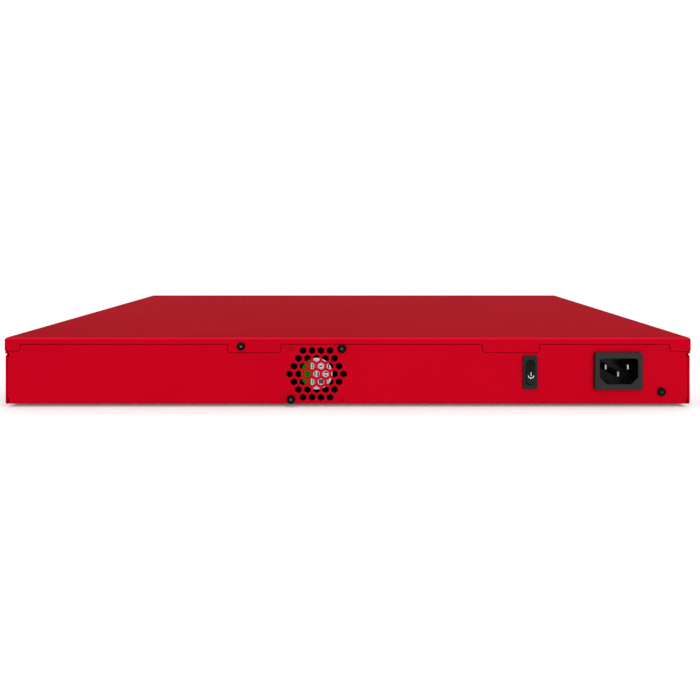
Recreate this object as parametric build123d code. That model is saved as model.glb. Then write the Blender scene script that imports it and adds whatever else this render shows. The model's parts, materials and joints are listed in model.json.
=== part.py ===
from build123d import *
import math
import os

# A one-unit rack firewall appliance, seen from behind: +X is right, +Y runs from the rear panel to
# the front panel, +Z is up. The origin is the middle of the overall box, on the surface that the
# rubber feet stand on. All lengths are millimetres.

# ---------------------------------------------------------------- driving dimensions

WIDTH = 431.0  # over the cover's side flanges
DEPTH = 307.0  # rear panel to the face of the front bezel
BODY_HEIGHT = 42.0
FOOT_HEIGHT = 2.0
INLET_PROUD = 3.0  # the mains inlet's flange, which stands out furthest at the rear
BEZEL_THICK = 2.5

TRAY_SHEET = 1.0
COVER_SHEET = 0.8
BEND = 0.6  # inside radius of the tray's folds
COVER_BEND = 0.9
SLIP = 0.2  # between sheets that slide on each other

FLOOR = FOOT_HEIGHT  # underside of the tray
DECK = FLOOR + TRAY_SHEET  # inside face of the tray's floor
TOP = FLOOR + BODY_HEIGHT
REAR = INLET_PROUD - (DEPTH + INLET_PROUD) / 2  # outside face of the rear panel
REAR_INSIDE = REAR + TRAY_SHEET
FRONT = REAR + DEPTH  # face of the bezel
PANEL_FRONT = FRONT - BEZEL_THICK  # outside face of the sheet-metal front panel
PANEL_BACK = PANEL_FRONT - TRAY_SHEET

# Side walls: the lower wall is nearly flush with the cover's flange, the upper wall steps in behind it.
WALL_X = WIDTH / 2 - 0.6
JOGGLE = 0.5
UPPER_WALL_X = WALL_X - JOGGLE
JOGGLE_Z = (FLOOR + 30.4, FLOOR + 31.0)
WALL_TOP = TOP - 1.3
WALL_STRIP_TOP = TOP - 10.0  # above this the walls start behind the cover's corner tabs
WALL_CHAMFER = 1.2
SIDE_FLANGE_BOTTOM = TOP - 10.4
PANEL_HALF = WALL_X - TRAY_SHEET - 0.4  # half the width of the rear panel
RELIEF_X = PANEL_HALF - 0.85  # relief holes beside the rear panel's corners
RELIEFS = ((DECK - 0.1, DECK + 3.3), (TOP - 12.2, TOP - 9.4))

# The seam between the cover's rear flange and the rear panel, with its tabs.
SEAM_GAP = 0.5
REAR_FLANGE = 4.2
TAB_ROUND = 1.6
TABS = (  # left edge, right edge, depth below the top
    (-WIDTH / 2, -206.0, 8.3),
    (-75.3, -42.3, 9.3),
    (84.8, 120.2, 9.3),
    (202.5, WIDTH / 2, 8.7),
)
RAIL_BOTTOM, RAIL_TOP, RAIL_DEPTH = TOP - 12.0, TOP - 2.2, 12.0
RAIL_HALF = UPPER_WALL_X - TRAY_SHEET - SLIP

# The cover's front tongue slides under the front panel's lip.
LIP_DEPTH = 5.5
COVER_FRONT = PANEL_FRONT - LIP_DEPTH - 0.5
TONGUE_HALF = 205.0
FRONT_HALF = 213.2  # half the width of the front panel

# Fan and its grille.
FAN_X, FAN_Z = -19.6, FLOOR + 19.0
FAN_SIZE, FAN_DEPTH, FAN_HOLES = 36.0, 20.0, 32.0
FAN_BORE, BLADE_RADIUS, HUB_RADIUS, BASE_RADIUS = 16.8, 16.2, 9.6, 10.3
SHAFT_RADIUS, POST_BORE, POST_RADIUS = 1.0, 2.0, 2.7
BLADES = 7
FAN_SHANK = 1.2
HEX_PITCH, HEX_FLATS = 5.66, 4.2
HEX_SIDE = 4  # holes along one side of the big hexagon of holes

# Rear connectors and screws.
SWITCH_X, SWITCH_Z = 114.4, FLOOR + 20.2
SWITCH_FLANGE = (9.1, 20.8, 1.7)
SWITCH_BODY = (7.4, 18.8, 15.0)
ROCKER, ROCKER_RADIUS, ROCKER_TILT = (15.2, 5.4), 7.7, 9.0
ROCKER_APEX, ROCKER_PIVOT = 2.4, REAR - 0.4
ROCKER_WINDOW = (16.1, 5.8)
INLET_X, INLET_Z = 169.4, FLOOR + 21.2
INLET_FLANGE = (30.0, 23.4)
INLET_BODY = (27.0, 19.8, 17.0)
INLET_CAVITY = (24.0, 16.2, 16.0)
INLET_CHAMFER, INLET_ROUND = 4.3, 2.0
PIN_SIZE, PIN_SPACING, EARTH_DROP = (2.0, 4.0), 7.0, 4.0
COVER_SCREW_X, COVER_SCREW_Z = -67.0, FLOOR + 36.4
GROUND_X, GROUND_Z = 196.9, FLOOR + 7.9

# Main board and the connectors on its front edge.
STANDOFF = 8.0
BOARD_BOTTOM = DECK + STANDOFF
BOARD_THICK = 1.6
BOARD_TOP = BOARD_BOTTOM + BOARD_THICK
BOARD_X, BOARD_Y = (-62.0, 198.0), (5.0, 150.5)
BOARD_FIXINGS = [(x, y) for x in (-56.0, 102.0, 192.0) for y in (11.0, 124.0)]
JACK_FACE = FRONT - 1.0
JACK_PITCH, JACK_HEIGHT, JACK_DEPTH, JACK_MARGIN = 14.0, 13.4, 21.5, 1.6
SHIELD = 0.28
PORT = (11.9, 7.0, 12.6)  # width, height and depth of one socket
PORT_Z = BOARD_TOP + 7.2
LAN_LEFT, LAN_RIGHT, CONSOLE = (-7.0, 4), (54.0, 4), (115.0, 1)  # centre, number of ports
USB_X, USB, USB_SHELL, USB_PORT = 94.0, (14.5, 15.4, 17.5), 0.35, (13.0, 5.4)
LED_X = [138.5 + 8.0 * i for i in range(5)]
LED_Z, PIPE_RADIUS = BOARD_TOP + 14.0, 1.3
RESET_X, RESET_Z, RESET_RADIUS = 186.0, BOARD_TOP + 6.0, 1.1
BEZEL_X, BEZEL_Z = (-44.0, 205.0), (FLOOR + 3.5, FLOOR + 38.0)
GRILLE_X, GRILLE_Z = (-196.0, -58.0), (FLOOR + 7.0, FLOOR + 36.0)

# Parts on the main board.
CPU_X, CPU_Y, CPU_SIZE, SINK_SIZE, SINK_TOP = 62.0, 62.0, 34.0, 56.0, TOP - 6.0
MEMORY_X, MEMORY_Y = (-56.0, -16.0), (24.0, 92.0)
DRIVE_X, DRIVE_Y = (114.0, 136.0), (16.0, 96.0)
CELL_X, CELL_Y, CELL_RADIUS = 160.0, 96.0, 10.0
BOARD_HEADER, FAN_HEADER = (184.0, 20.0), (-44.0, 12.0)
MAINS_HEADER, SUPPLY_HEADER = (165.0, -111.0), (184.0, -25.0)
HEADERS = (
    (BOARD_HEADER, (15.0, 9.0, 10.0)),
    (FAN_HEADER, (10.0, 6.0, 6.0)),
    (MAINS_HEADER, (18.0, 8.0, 9.0)),
    (SUPPLY_HEADER, (15.0, 7.0, 9.0)),
)

# Power supply.
SUPPLY_X, SUPPLY_Y = (148.0, 206.0), (-118.0, -20.0)
SUPPLY_FIXINGS = [(x, y) for x in (152.0, 202.0) for y in (-113.5, -24.5)]
TRANSFORMER = (162.0, -62.0)
BULK_CAPACITOR = (187.0, -82.0)
POWER_SINKS = ((178.0, -57.0, 1), (204.0, -62.0, -1))  # x, y and the side its fins are on
POWER_CHOKES = (  # x, y, outer and inner radius, height
    (160.0, -92.0, 9.0, 4.0, 13.0),
    (166.0, -36.0, 6.5, 2.6, 9.0),
)

# Fasteners and fixings.
SHANK = 1.5
THREAD_CLEARANCE = 0.03
EAR_Y, EAR_Z, EAR_NUT = (105.0, 135.0), (FLOOR + 10.0, FLOOR + 24.0), 3.2
EAR_THREAD = 2.0
FEET = [(x, y) for x in (-188.0, 188.0) for y in (-130.0, 130.0)]
FOOT_RADIUS = 7.0


# ---------------------------------------------------------------- helpers


def block(x, y, z):
    """Box between pairs of coordinates."""
    size = (x[1] - x[0], y[1] - y[0], z[1] - z[0])
    centre = ((x[0] + x[1]) / 2, (y[0] + y[1]) / 2, (z[0] + z[1]) / 2)
    return Pos(*centre) * Box(*size)


def standing(x, y, size, z=BOARD_TOP):
    """Box that stands on the level z, centred on x and y."""
    return Pos(x, y, z + size[2] / 2) * Box(*size)


def rectangle(x, z):
    """Flat rectangle between pairs of coordinates."""
    return Pos((x[0] + x[1]) / 2, (z[0] + z[1]) / 2) * Rectangle(x[1] - x[0], z[1] - z[0])


def along_y(face, y0, y1):
    """Extrudes a face drawn in X and Z from y0 to y1."""
    return extrude(Plane.XZ.offset(-y1) * face, y1 - y0)


def along_x(face, x0, x1):
    """Extrudes a face drawn in Y and Z from x0 to x1."""
    return extrude(Plane.YZ.offset(x0) * face, x1 - x0)


def along_z(face, z0, z1):
    """Extrudes a face drawn in X and Y from z0 to z1."""
    return extrude(Plane.XY.offset(z0) * face, z1 - z0)


def rod_y(x, z, radius, y0, y1):
    return along_y(Pos(x, z) * Circle(radius), y0, y1)


def rod_x(y, z, radius, x0, x1):
    return along_x(Pos(y, z) * Circle(radius), x0, x1)


def rod_z(x, y, radius, z0, z1):
    return along_z(Pos(x, y) * Circle(radius), z0, z1)


def folded_sheet(points, thickness, bends, extruder, start, end):
    """Folded sheet metal. Its outside runs through the points, the metal lies on their left, and
    bends gives the inside radius of each fold."""
    outside = [Vector(*p) for p in points]
    normals = []
    for a, b in zip(outside, outside[1:]):
        run = (b - a).normalized()
        normals.append(Vector(-run.Y, run.X))
    inside = [outside[0] + normals[0] * thickness]
    outside_radii, inside_radii = [], []
    for point, before, after, bend in zip(outside[1:-1], normals, normals[1:], bends):
        inside.append(point + (before + after) * (thickness / (1 + before.dot(after))))
        turns_left = before.cross(after).Z > 0
        outside_radii.append(bend + thickness if turns_left else bend)
        inside_radii.append(bend if turns_left else bend + thickness)
    inside.append(outside[-1] + normals[-1] * thickness)
    outer_line = FilletPolyline(*outside, radius=outside_radii)
    inner_line = FilletPolyline(*inside, radius=inside_radii)
    ends = [Line(outside[0], inside[0]), Line(outside[-1], inside[-1])]
    face = make_face([*outer_line.edges(), *inner_line.edges(), *ends])
    return extruder(face, start, end)


def hexagon(x, z):
    return Pos(x, z) * RegularPolygon(HEX_FLATS / 2, 6, major_radius=False, rotation=30)


def cross_recess(radius):
    """Flat cross of a screwdriver recess."""
    return Rectangle(radius * 1.1, 0.6) + Rectangle(0.6, radius * 1.1)


def rear_screw(x, z, head_radius, head_height, length, shank=SHANK):
    """Pan-head screw in the rear panel, head outwards."""
    face = REAR - head_height
    head = rod_y(x, z, head_radius, face, REAR)
    rim = head.edges().filter_by(GeomType.CIRCLE).sort_by(Axis.Y)[0]
    head = fillet(rim, head_height * 0.6)
    body = head + rod_y(x, z, shank - THREAD_CLEARANCE, REAR, REAR + length)
    recess = along_y(Pos(x, z) * cross_recess(head_radius), face - 1, face + head_height * 0.7)
    return body - recess


def screw_down(x, y, z, length, head_radius=2.75, head_height=1.9):
    """Pan-head screw whose head sits on the level z."""
    head = rod_z(x, y, head_radius, z, z + head_height)
    rim = head.edges().filter_by(GeomType.CIRCLE).sort_by(Axis.Z)[-1]
    head = fillet(rim, head_height * 0.5)
    body = head + rod_z(x, y, SHANK - THREAD_CLEARANCE, z - length, z)
    recess = along_z(Pos(x, y) * cross_recess(head_radius), z + head_height * 0.35, z + head_height + 1)
    return body - recess


def cable(points, radius):
    """Round wire along straight runs joined by tangent arcs as large as the runs allow."""
    corners = [Vector(*p) for p in points]
    radii = []
    for a, b, c in zip(corners, corners[1:], corners[2:]):
        half_turn = math.radians((b - a).get_angle(c - b)) / 2
        radii.append(0.45 * min((b - a).length, (c - b).length) / math.tan(half_turn))
    print("wire radii:", [round(r, 1) for r in radii])
    path = FilletPolyline(*corners, radius=radii)
    return sweep(Plane(path @ 0, z_dir=path % 0) * Circle(radius), path=path)


def write(node, made):
    """Writes one node from one solid or a list of separate ones."""
    shapes = made if isinstance(made, list) else [made]
    solids = [solid for shape in shapes for solid in shape.solids()]
    export_step(Compound(children=solids), f"parts/{node}.step")


# ---------------------------------------------------------------- chassis


def flange_face(grow):
    """Outline of the cover's rear flange and its tabs, drawn grow larger all round."""
    face = rectangle((-WIDTH / 2, WIDTH / 2), (TOP - REAR_FLANGE - grow, TOP + 1))
    for left, right, depth in TABS:
        face += rectangle((left - grow, right + grow), (TOP - depth - grow, TOP + 1))
    lows = [TOP - depth - grow for _, _, depth in TABS]
    corners = face.vertices().filter_by(
        lambda v: abs(v.X) < WIDTH / 2 - 1 and min(abs(v.Y - low) for low in lows) < 0.01
    )
    return fillet(corners, TAB_ROUND + grow)


def fan_corners(size):
    """The fan's four fixing points: the two with screws, then the two without."""
    h = size / 2
    return [(FAN_X + i * h, FAN_Z + j * h) for i, j in ((1, 1), (-1, -1), (-1, 1), (1, -1))]


def fan_grille_holes():
    """The big hexagon of hexagonal holes in front of the fan."""
    holes = []
    for row in range(1 - HEX_SIDE, HEX_SIDE):
        count = 2 * HEX_SIDE - 1 - abs(row)
        for i in range(count):
            x = FAN_X + (i - (count - 1) / 2) * HEX_PITCH
            holes.append(hexagon(x, FAN_Z + row * HEX_PITCH * math.sqrt(3) / 2))
    return holes


def inlet_outline(width, height, chamfered):
    """Mains inlet outline, with both lower corners cut off and the upper corners rounded."""
    x, z = width / 2, height / 2
    low = chamfered - z
    points = [(-x, z), (x, z), (x, low), (x - chamfered, -z), (chamfered - x, -z), (-x, low)]
    face = make_face(Polyline(*points, close=True))
    return Pos(INLET_X, INLET_Z) * fillet(face.vertices().filter_by(lambda v: v.Y > z - 0.01), INLET_ROUND)


def base_tray():
    walls = [
        (-UPPER_WALL_X, WALL_TOP), (-UPPER_WALL_X, JOGGLE_Z[1]), (-WALL_X, JOGGLE_Z[0]), (-WALL_X, FLOOR),
        (WALL_X, FLOOR), (WALL_X, JOGGLE_Z[0]), (UPPER_WALL_X, JOGGLE_Z[1]), (UPPER_WALL_X, WALL_TOP),
    ]
    bends = (0.1, 0.1, BEND, BEND, 0.1, 0.1)
    tray = folded_sheet(walls, TRAY_SHEET, bends, along_y, REAR, PANEL_FRONT)
    fold = BEND + TRAY_SHEET
    inside = WALL_X - TRAY_SHEET
    tray -= block((-inside, inside), (REAR - 1, REAR + fold), (0, DECK + 5))
    tray -= block((-WIDTH, WIDTH), (REAR - 1, REAR + COVER_SHEET + 0.4), (WALL_STRIP_TOP, TOP))
    notch = Polyline(
        (REAR - 1, WALL_STRIP_TOP + 1), (REAR + WALL_CHAMFER + 1, WALL_STRIP_TOP + 1),
        (REAR - 1, WALL_STRIP_TOP - WALL_CHAMFER - 1), close=True,
    )
    tray -= along_x(make_face(notch), -WIDTH, WIDTH)
    panel_points = [(REAR, TOP), (REAR, FLOOR), (REAR + fold + 2, FLOOR)]
    panel = folded_sheet(panel_points, TRAY_SHEET, (BEND,), along_x, -PANEL_HALF, PANEL_HALF)
    panel -= along_y(flange_face(SEAM_GAP), REAR - 1, REAR_INSIDE + 1)
    tray += panel
    tray -= [
        block(sorted((side * RELIEF_X, side * inside)), (REAR - 1, REAR + fold + 1), z)
        for side in (-1, 1) for z in RELIEFS
    ]
    tray -= [along_y(hole, REAR - 1, REAR_INSIDE + 1) for hole in fan_grille_holes()]
    tray -= [rod_y(x, z, SHANK + 0.2, REAR - 1, REAR_INSIDE + 1) for x, z in fan_corners(FAN_HOLES)[:2]]
    tray -= [rod_y(x, z, SHANK, REAR - 1, REAR + 0.3) for x, z in fan_corners(FAN_HOLES)[2:]]
    tray -= rod_y(GROUND_X, GROUND_Z, SHANK, REAR - 1, REAR_INSIDE + 1)
    switch_hole = Pos(SWITCH_X, SWITCH_Z) * Rectangle(SWITCH_BODY[0] + 0.2, SWITCH_BODY[1] + 0.2)
    tray -= along_y(switch_hole, REAR - 1, REAR_INSIDE + 1)
    inlet_hole = inlet_outline(INLET_BODY[0] + 0.2, INLET_BODY[1] + 0.2, INLET_CHAMFER)
    tray -= along_y(inlet_hole, REAR - 1, REAR_INSIDE + 1)
    slots = [Pos(y, FLOOR + 17.0) * SlotOverall(18, 3, rotation=90) for y in range(-66, 31, 6)]
    tray -= [along_x(slot, -WIDTH, WIDTH) for slot in slots]
    tray -= [rod_x(y, z, EAR_NUT, -WIDTH, WIDTH) for y in EAR_Y for z in EAR_Z]
    tray -= [rod_z(x, y, 2.0, 0, DECK + 1) for x, y in FEET]
    return tray


def rear_top_rail():
    """Folded stiffener behind the top of the rear panel, with the cover screw's clinch nut."""
    points = [(REAR_INSIDE + RAIL_DEPTH, RAIL_TOP), (REAR_INSIDE, RAIL_TOP), (REAR_INSIDE, RAIL_BOTTOM)]
    rail = folded_sheet(points, TRAY_SHEET, (BEND,), along_x, -RAIL_HALF, RAIL_HALF)
    fan_half = FAN_SIZE / 2 + 0.5
    deep = (REAR, REAR_INSIDE + RAIL_DEPTH)
    rail -= block((FAN_X - fan_half, FAN_X + fan_half), deep, (RAIL_BOTTOM - 1, FAN_Z + FAN_SIZE / 2 + 0.3))
    inlet_half = INLET_BODY[0] / 2 + 0.6
    inlet_top = INLET_Z + INLET_BODY[1] / 2 + 0.6
    rail -= block((INLET_X - inlet_half, INLET_X + inlet_half), deep, (RAIL_BOTTOM - 1, inlet_top))
    rail += rod_y(COVER_SCREW_X, COVER_SCREW_Z, 2.7, REAR_INSIDE + TRAY_SHEET, REAR_INSIDE + 3.5)
    return rail - rod_y(COVER_SCREW_X, COVER_SCREW_Z, SHANK, REAR, REAR_INSIDE + 5)


def top_cover():
    t = COVER_SHEET
    half = WIDTH / 2
    outer = block((-half, half), (REAR, PANEL_FRONT), (SIDE_FLANGE_BOTTOM, TOP))
    outer = fillet(outer.edges().group_by(Axis.Z)[-1].sort_by(Axis.Y)[:-1], COVER_BEND + t)
    inner = block((t - half, half - t), (REAR + t, PANEL_FRONT + 5), (SIDE_FLANGE_BOTTOM - 5, TOP - t))
    inner = fillet(inner.edges().group_by(Axis.Z)[-1].sort_by(Axis.Y)[:-1], COVER_BEND)
    cover = outer - inner
    below = rectangle((-WIDTH, WIDTH), (0, TOP - REAR_FLANGE)) - flange_face(0)
    cover -= along_y(below, REAR - 1, REAR + t)
    side = FRONT_HALF + 0.3
    cover -= block((-side, side), (COVER_FRONT, PANEL_FRONT + 1), (TOP - 3, TOP + 1))
    step_end = COVER_FRONT - 3.5
    cover -= block((-TONGUE_HALF - 0.3, TONGUE_HALF + 0.3), (step_end, COVER_FRONT + 1), (TOP - 3, TOP + 1))
    low = TOP - TRAY_SHEET - 0.1
    joggle = TOP - low
    tongue = [
        (PANEL_BACK - 1.2, low), (COVER_FRONT + 0.1, low),
        (COVER_FRONT + 0.1 - joggle, TOP), (step_end - 1, TOP),
    ]
    cover += folded_sheet(tongue, t, (0.3, 0.3), along_x, -TONGUE_HALF, TONGUE_HALF)
    return cover - rod_y(COVER_SCREW_X, COVER_SCREW_Z, SHANK + 0.2, REAR - 1, REAR + t + 1)


def jack_span(jack):
    """Left and right side of a jack with its number of ports."""
    centre, ports = jack
    half = (ports * JACK_PITCH + JACK_MARGIN) / 2
    return centre - half, centre + half


def front_windows(gap):
    """Openings for everything that shows in the front, gap larger all round."""
    low, jack_top = BOARD_TOP - 0.1, BOARD_TOP + JACK_HEIGHT + gap
    windows = []
    for jack in (LAN_LEFT, LAN_RIGHT, CONSOLE):
        left, right = jack_span(jack)
        windows.append(rectangle((left - gap, right + gap), (low, jack_top)))
    usb_half = USB[0] / 2 + gap
    windows.append(rectangle((USB_X - usb_half, USB_X + usb_half), (low, BOARD_TOP + USB[1] + gap)))
    windows += [Pos(x, LED_Z) * Circle(PIPE_RADIUS + 0.1) for x in LED_X]
    windows.append(Pos(RESET_X, RESET_Z) * Circle(RESET_RADIUS + 0.3))
    return windows


def bezel_pins():
    return [(x, z) for x in (BEZEL_X[0] + 4, BEZEL_X[1] - 4) for z in (BEZEL_Z[0] + 4, BEZEL_Z[1] - 4)]


def intake_holes():
    """Staggered rows of hexagonal holes that fill the front grille."""
    row_step = HEX_PITCH * math.sqrt(3) / 2
    rows = int((GRILLE_Z[1] - GRILLE_Z[0]) / row_step) + 1
    columns = int((GRILLE_X[1] - GRILLE_X[0]) / HEX_PITCH)
    holes = []
    for row in range(rows):
        for i in range(columns + row % 2):
            x = GRILLE_X[0] + (i + 1 - 0.5 * (row % 2)) * HEX_PITCH
            holes.append(hexagon(x, GRILLE_Z[0] + row * row_step))
    return holes


def front_panel():
    points = [
        (PANEL_BACK - 10, DECK), (PANEL_FRONT, DECK), (PANEL_FRONT, TOP), (PANEL_FRONT - LIP_DEPTH, TOP),
    ]
    panel = folded_sheet(points, TRAY_SHEET, (BEND, BEND), along_x, -FRONT_HALF, FRONT_HALF)
    panel -= [along_y(hole, PANEL_BACK - 1, PANEL_FRONT + 1) for hole in front_windows(0.3)]
    panel -= [along_y(hole, PANEL_BACK - 1, PANEL_FRONT + 1) for hole in intake_holes()]
    return panel - [rod_y(x, z, 1.5, PANEL_BACK - 1, PANEL_FRONT + 1) for x, z in bezel_pins()]


def front_bezel():
    bezel = block(BEZEL_X, (PANEL_FRONT, FRONT), BEZEL_Z)
    bezel = fillet(bezel.edges().filter_by(Axis.Y), 3.0)
    bezel = chamfer(bezel.faces().sort_by(Axis.Y)[-1].outer_wire().edges(), 0.8)
    bezel -= [along_y(hole, PANEL_FRONT - 1, FRONT + 1) for hole in front_windows(0.15)]
    return bezel + [rod_y(x, z, 1.45, PANEL_BACK - 2, PANEL_FRONT) for x, z in bezel_pins()]


def rubber_feet():
    feet = []
    for x, y in FEET:
        pad = rod_z(x, y, FOOT_RADIUS, 0, FLOOR)
        pad = chamfer(pad.edges().filter_by(GeomType.CIRCLE).sort_by(Axis.Z)[0], 0.5)
        stem = rod_z(x, y, 1.95, FLOOR, DECK + 0.2)
        feet.append(pad + stem + rod_z(x, y, 3.0, DECK, DECK + 1.4))
    return feet


def rack_ear_inserts():
    """Clinch nuts in both side walls, flush outside."""
    nuts = []
    for side in (-1, 1):
        outside, wall, inside = (side * (WALL_X - d) for d in (0, TRAY_SHEET, 3.2))
        for y in EAR_Y:
            for z in EAR_Z:
                nut = rod_x(y, z, EAR_NUT - 0.02, *sorted((outside, wall)))
                nut += rod_x(y, z, EAR_NUT + 0.9, *sorted((wall, inside)))
                nuts.append(nut - rod_x(y, z, EAR_THREAD, *sorted((outside + side, inside - side))))
    return nuts


def cover_screw():
    return rear_screw(COVER_SCREW_X, COVER_SCREW_Z, 2.55, 1.8, 6.0)


def fan_screws():
    return [rear_screw(x, z, 2.8, 2.0, 9.0, FAN_SHANK) for x, z in fan_corners(FAN_HOLES)[:2]]


def ground_screw():
    return rear_screw(GROUND_X, GROUND_Z, 2.7, 2.0, 8.0)


def ground_lug():
    """Nut and ring terminal that the ground screw holds inside the rear panel."""
    nut = RegularPolygon(2.75, 6, major_radius=False) - Circle(SHANK)
    ring = Circle(3.2) + Pos(0, 4) * Rectangle(3.2, 6.5) - Circle(SHANK)
    place = Pos(GROUND_X, GROUND_Z)
    return [
        along_y(place * ring, REAR_INSIDE, REAR_INSIDE + 0.8),
        along_y(place * nut, REAR_INSIDE + 0.8, REAR_INSIDE + 3.2),
    ]


# ---------------------------------------------------------------- fan


def ring_y(outer, inner, y0, y1):
    """Round tube about the fan's axis."""
    return along_y(Pos(FAN_X, FAN_Z) * (Circle(outer) - Circle(inner)), REAR_INSIDE + y0, REAR_INSIDE + y1)


def disc_y(radius, y0, y1):
    return rod_y(FAN_X, FAN_Z, radius, REAR_INSIDE + y0, REAR_INSIDE + y1)


def fan_frame():
    end = REAR_INSIDE + FAN_DEPTH
    flange = Pos(FAN_X, FAN_Z) * RectangleRounded(FAN_SIZE, FAN_SIZE, 2.0)
    frame = along_y(flange, REAR_INSIDE, REAR_INSIDE + 3.5) + along_y(flange, end - 3.5, end)
    frame += disc_y(FAN_SIZE / 2, 0, FAN_DEPTH)
    frame = chamfer(frame.faces().sort_by(Axis.Y)[0].outer_wire().edges(), 0.5)
    frame -= disc_y(FAN_BORE, -1, FAN_DEPTH + 1)
    for i in range(4):
        strut = Pos(FAN_X, FAN_Z) * Rot(0, 0, 45 + 90 * i) * Pos(13.5, 0) * Rectangle(8.0, 2.2)
        frame += along_y(strut, REAR_INSIDE + 0.5, REAR_INSIDE + 2.6)
    frame += disc_y(BASE_RADIUS, 0.45, 2.6) + disc_y(POST_RADIUS, 2.6, 14.0)
    frame -= disc_y(POST_BORE, 1.2, 15.0)
    return frame - [rod_y(x, z, FAN_SHANK, REAR, end + 1) for x, z in fan_corners(FAN_HOLES)]


def fan_label():
    return disc_y(BASE_RADIUS - 0.4, 0.3, 0.45)


def fan_bearings():
    return [ring_y(POST_BORE - 0.01, SHAFT_RADIUS + 0.03, y, y + 2.6) for y in (2.6, 11.2)]


def fan_stator():
    """Four-armed iron core with a winding on each arm, pressed on the bearing post."""
    core = Circle(3.9)
    for i in range(4):
        core += Rot(0, 0, 90 * i) * Pos(4.5, 0) * Rectangle(6.0, 1.8)
    core = core + (Circle(7.4) - Circle(6.5))
    slots = Rot(0, 0, 45) * Rectangle(20, 1.2) + Rot(0, 0, -45) * Rectangle(20, 1.2)
    core = core - (slots - Circle(5.0)) - Circle(POST_RADIUS + 0.02)
    parts = [along_y(Pos(FAN_X, FAN_Z) * core, REAR_INSIDE + 5.0, REAR_INSIDE + 10.0)]
    for i in range(4):
        ring = Rectangle(1.6, 3.6) - Rectangle(1.7, 1.9)
        turn = Pos(FAN_X, FAN_Z) * Rot(0, 0, 90 * i)
        parts.append(along_y(turn * Pos(5.3, 0) * ring, REAR_INSIDE + 5.2, REAR_INSIDE + 9.8))
    return parts


def fan_rotor():
    hub = disc_y(HUB_RADIUS, 3.4, 17.6)
    hub = fillet(hub.edges().filter_by(GeomType.CIRCLE).sort_by(Axis.Y)[-1], 1.0)
    hub -= disc_y(HUB_RADIUS - 1.0, 0, 16.2)
    hub += ring_y(SHAFT_RADIUS + 1.4, SHAFT_RADIUS - 0.1, 14.6, 16.6)
    hub -= disc_y(SHAFT_RADIUS, 0, 17.0)
    middle = REAR_INSIDE + 10.5
    reach = BLADE_RADIUS - HUB_RADIUS + 1.2
    for i in range(BLADES):
        blade = Box(reach, 13.5, 0.9)
        pitched = Pos(HUB_RADIUS - 0.6 + reach / 2, 0, 0) * Rot(38, 0, 0) * blade
        hub += Pos(FAN_X, middle, FAN_Z) * Rot(0, 360 / BLADES * i, 0) * pitched
    hub &= disc_y(BLADE_RADIUS, 3.4, 17.6)
    magnet = ring_y(HUB_RADIUS - 1.02, HUB_RADIUS - 1.8, 4.4, 12.0)
    return [hub, magnet]


def fan_shaft():
    return disc_y(SHAFT_RADIUS - 0.01, 1.6, 16.9)


# ---------------------------------------------------------------- mains inlet and switch


def inlet_body():
    body = along_y(
        inlet_outline(INLET_BODY[0], INLET_BODY[1], INLET_CHAMFER), REAR, REAR + INLET_BODY[2]
    )
    flange = along_y(
        Pos(INLET_X, INLET_Z) * RectangleRounded(*INLET_FLANGE, 1.4), REAR - INLET_PROUD, REAR
    )
    flange = chamfer(flange.faces().sort_by(Axis.Y)[0].outer_wire().edges(), 0.5)
    body += flange
    cavity = inlet_outline(INLET_CAVITY[0], INLET_CAVITY[1], INLET_CHAMFER)
    body -= along_y(cavity, REAR - INLET_PROUD - 1, REAR - INLET_PROUD + INLET_CAVITY[2])
    for x, z in inlet_pin_places():
        body -= along_y(Pos(x, z) * Rectangle(PIN_SIZE[0] + 0.04, PIN_SIZE[1] + 0.04), REAR, REAR + 20)
    return body


def inlet_pin_places():
    """Live, neutral and earth pins."""
    high, low = INLET_Z + EARTH_DROP / 2, INLET_Z - EARTH_DROP / 2
    return [(INLET_X - PIN_SPACING, high), (INLET_X + PIN_SPACING, high), (INLET_X, low)]


def inlet_pins():
    pins = []
    for x, z in inlet_pin_places():
        recess = 4.0 if x != INLET_X else 1.6
        back = REAR + INLET_BODY[2] + 0.5
        pin = along_y(Pos(x, z) * Rectangle(*PIN_SIZE), REAR - INLET_PROUD + recess, back)
        pin = chamfer(pin.faces().sort_by(Axis.Y)[0].edges(), 0.6)
        tab = along_y(Pos(x, z) * Rectangle(0.8, 4.8), back, back + 7.5)
        pins.append(pin + tab)
    return pins


def switch_housing():
    place = Pos(SWITCH_X, SWITCH_Z)
    flange = along_y(place * RectangleRounded(*SWITCH_FLANGE[:2], 1.0), REAR - SWITCH_FLANGE[2], REAR)
    flange = chamfer(flange.faces().sort_by(Axis.Y)[0].outer_wire().edges(), 0.4)
    housing = flange + along_y(place * Rectangle(*SWITCH_BODY[:2]), REAR, REAR + SWITCH_BODY[2])
    half = ROCKER_WINDOW[1] / 2
    well = rod_x(ROCKER_PIVOT, SWITCH_Z, ROCKER_RADIUS + 0.3, SWITCH_X - half, SWITCH_X + half)
    housing -= well & along_y(place * SlotOverall(*ROCKER_WINDOW, rotation=90), REAR - 10, REAR + 10)
    pin = ROCKER[1] / 2 + 0.65
    housing -= rod_x(ROCKER_PIVOT, SWITCH_Z, 0.95, SWITCH_X - pin, SWITCH_X + pin)
    slot = Rectangle(0.84, 4.84)
    return housing - [along_y(Pos(x, z) * slot, REAR + 9, REAR + 20) for x, z in switch_tabs()]


def switch_tabs():
    return [(SWITCH_X, SWITCH_Z - 5.5), (SWITCH_X, SWITCH_Z + 5.5)]


def switch_terminals():
    start, end = REAR + 10.0, REAR + SWITCH_BODY[2] + 8.5
    return [along_y(Pos(x, z) * Rectangle(0.8, 4.8), start, end) for x, z in switch_tabs()]


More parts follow.
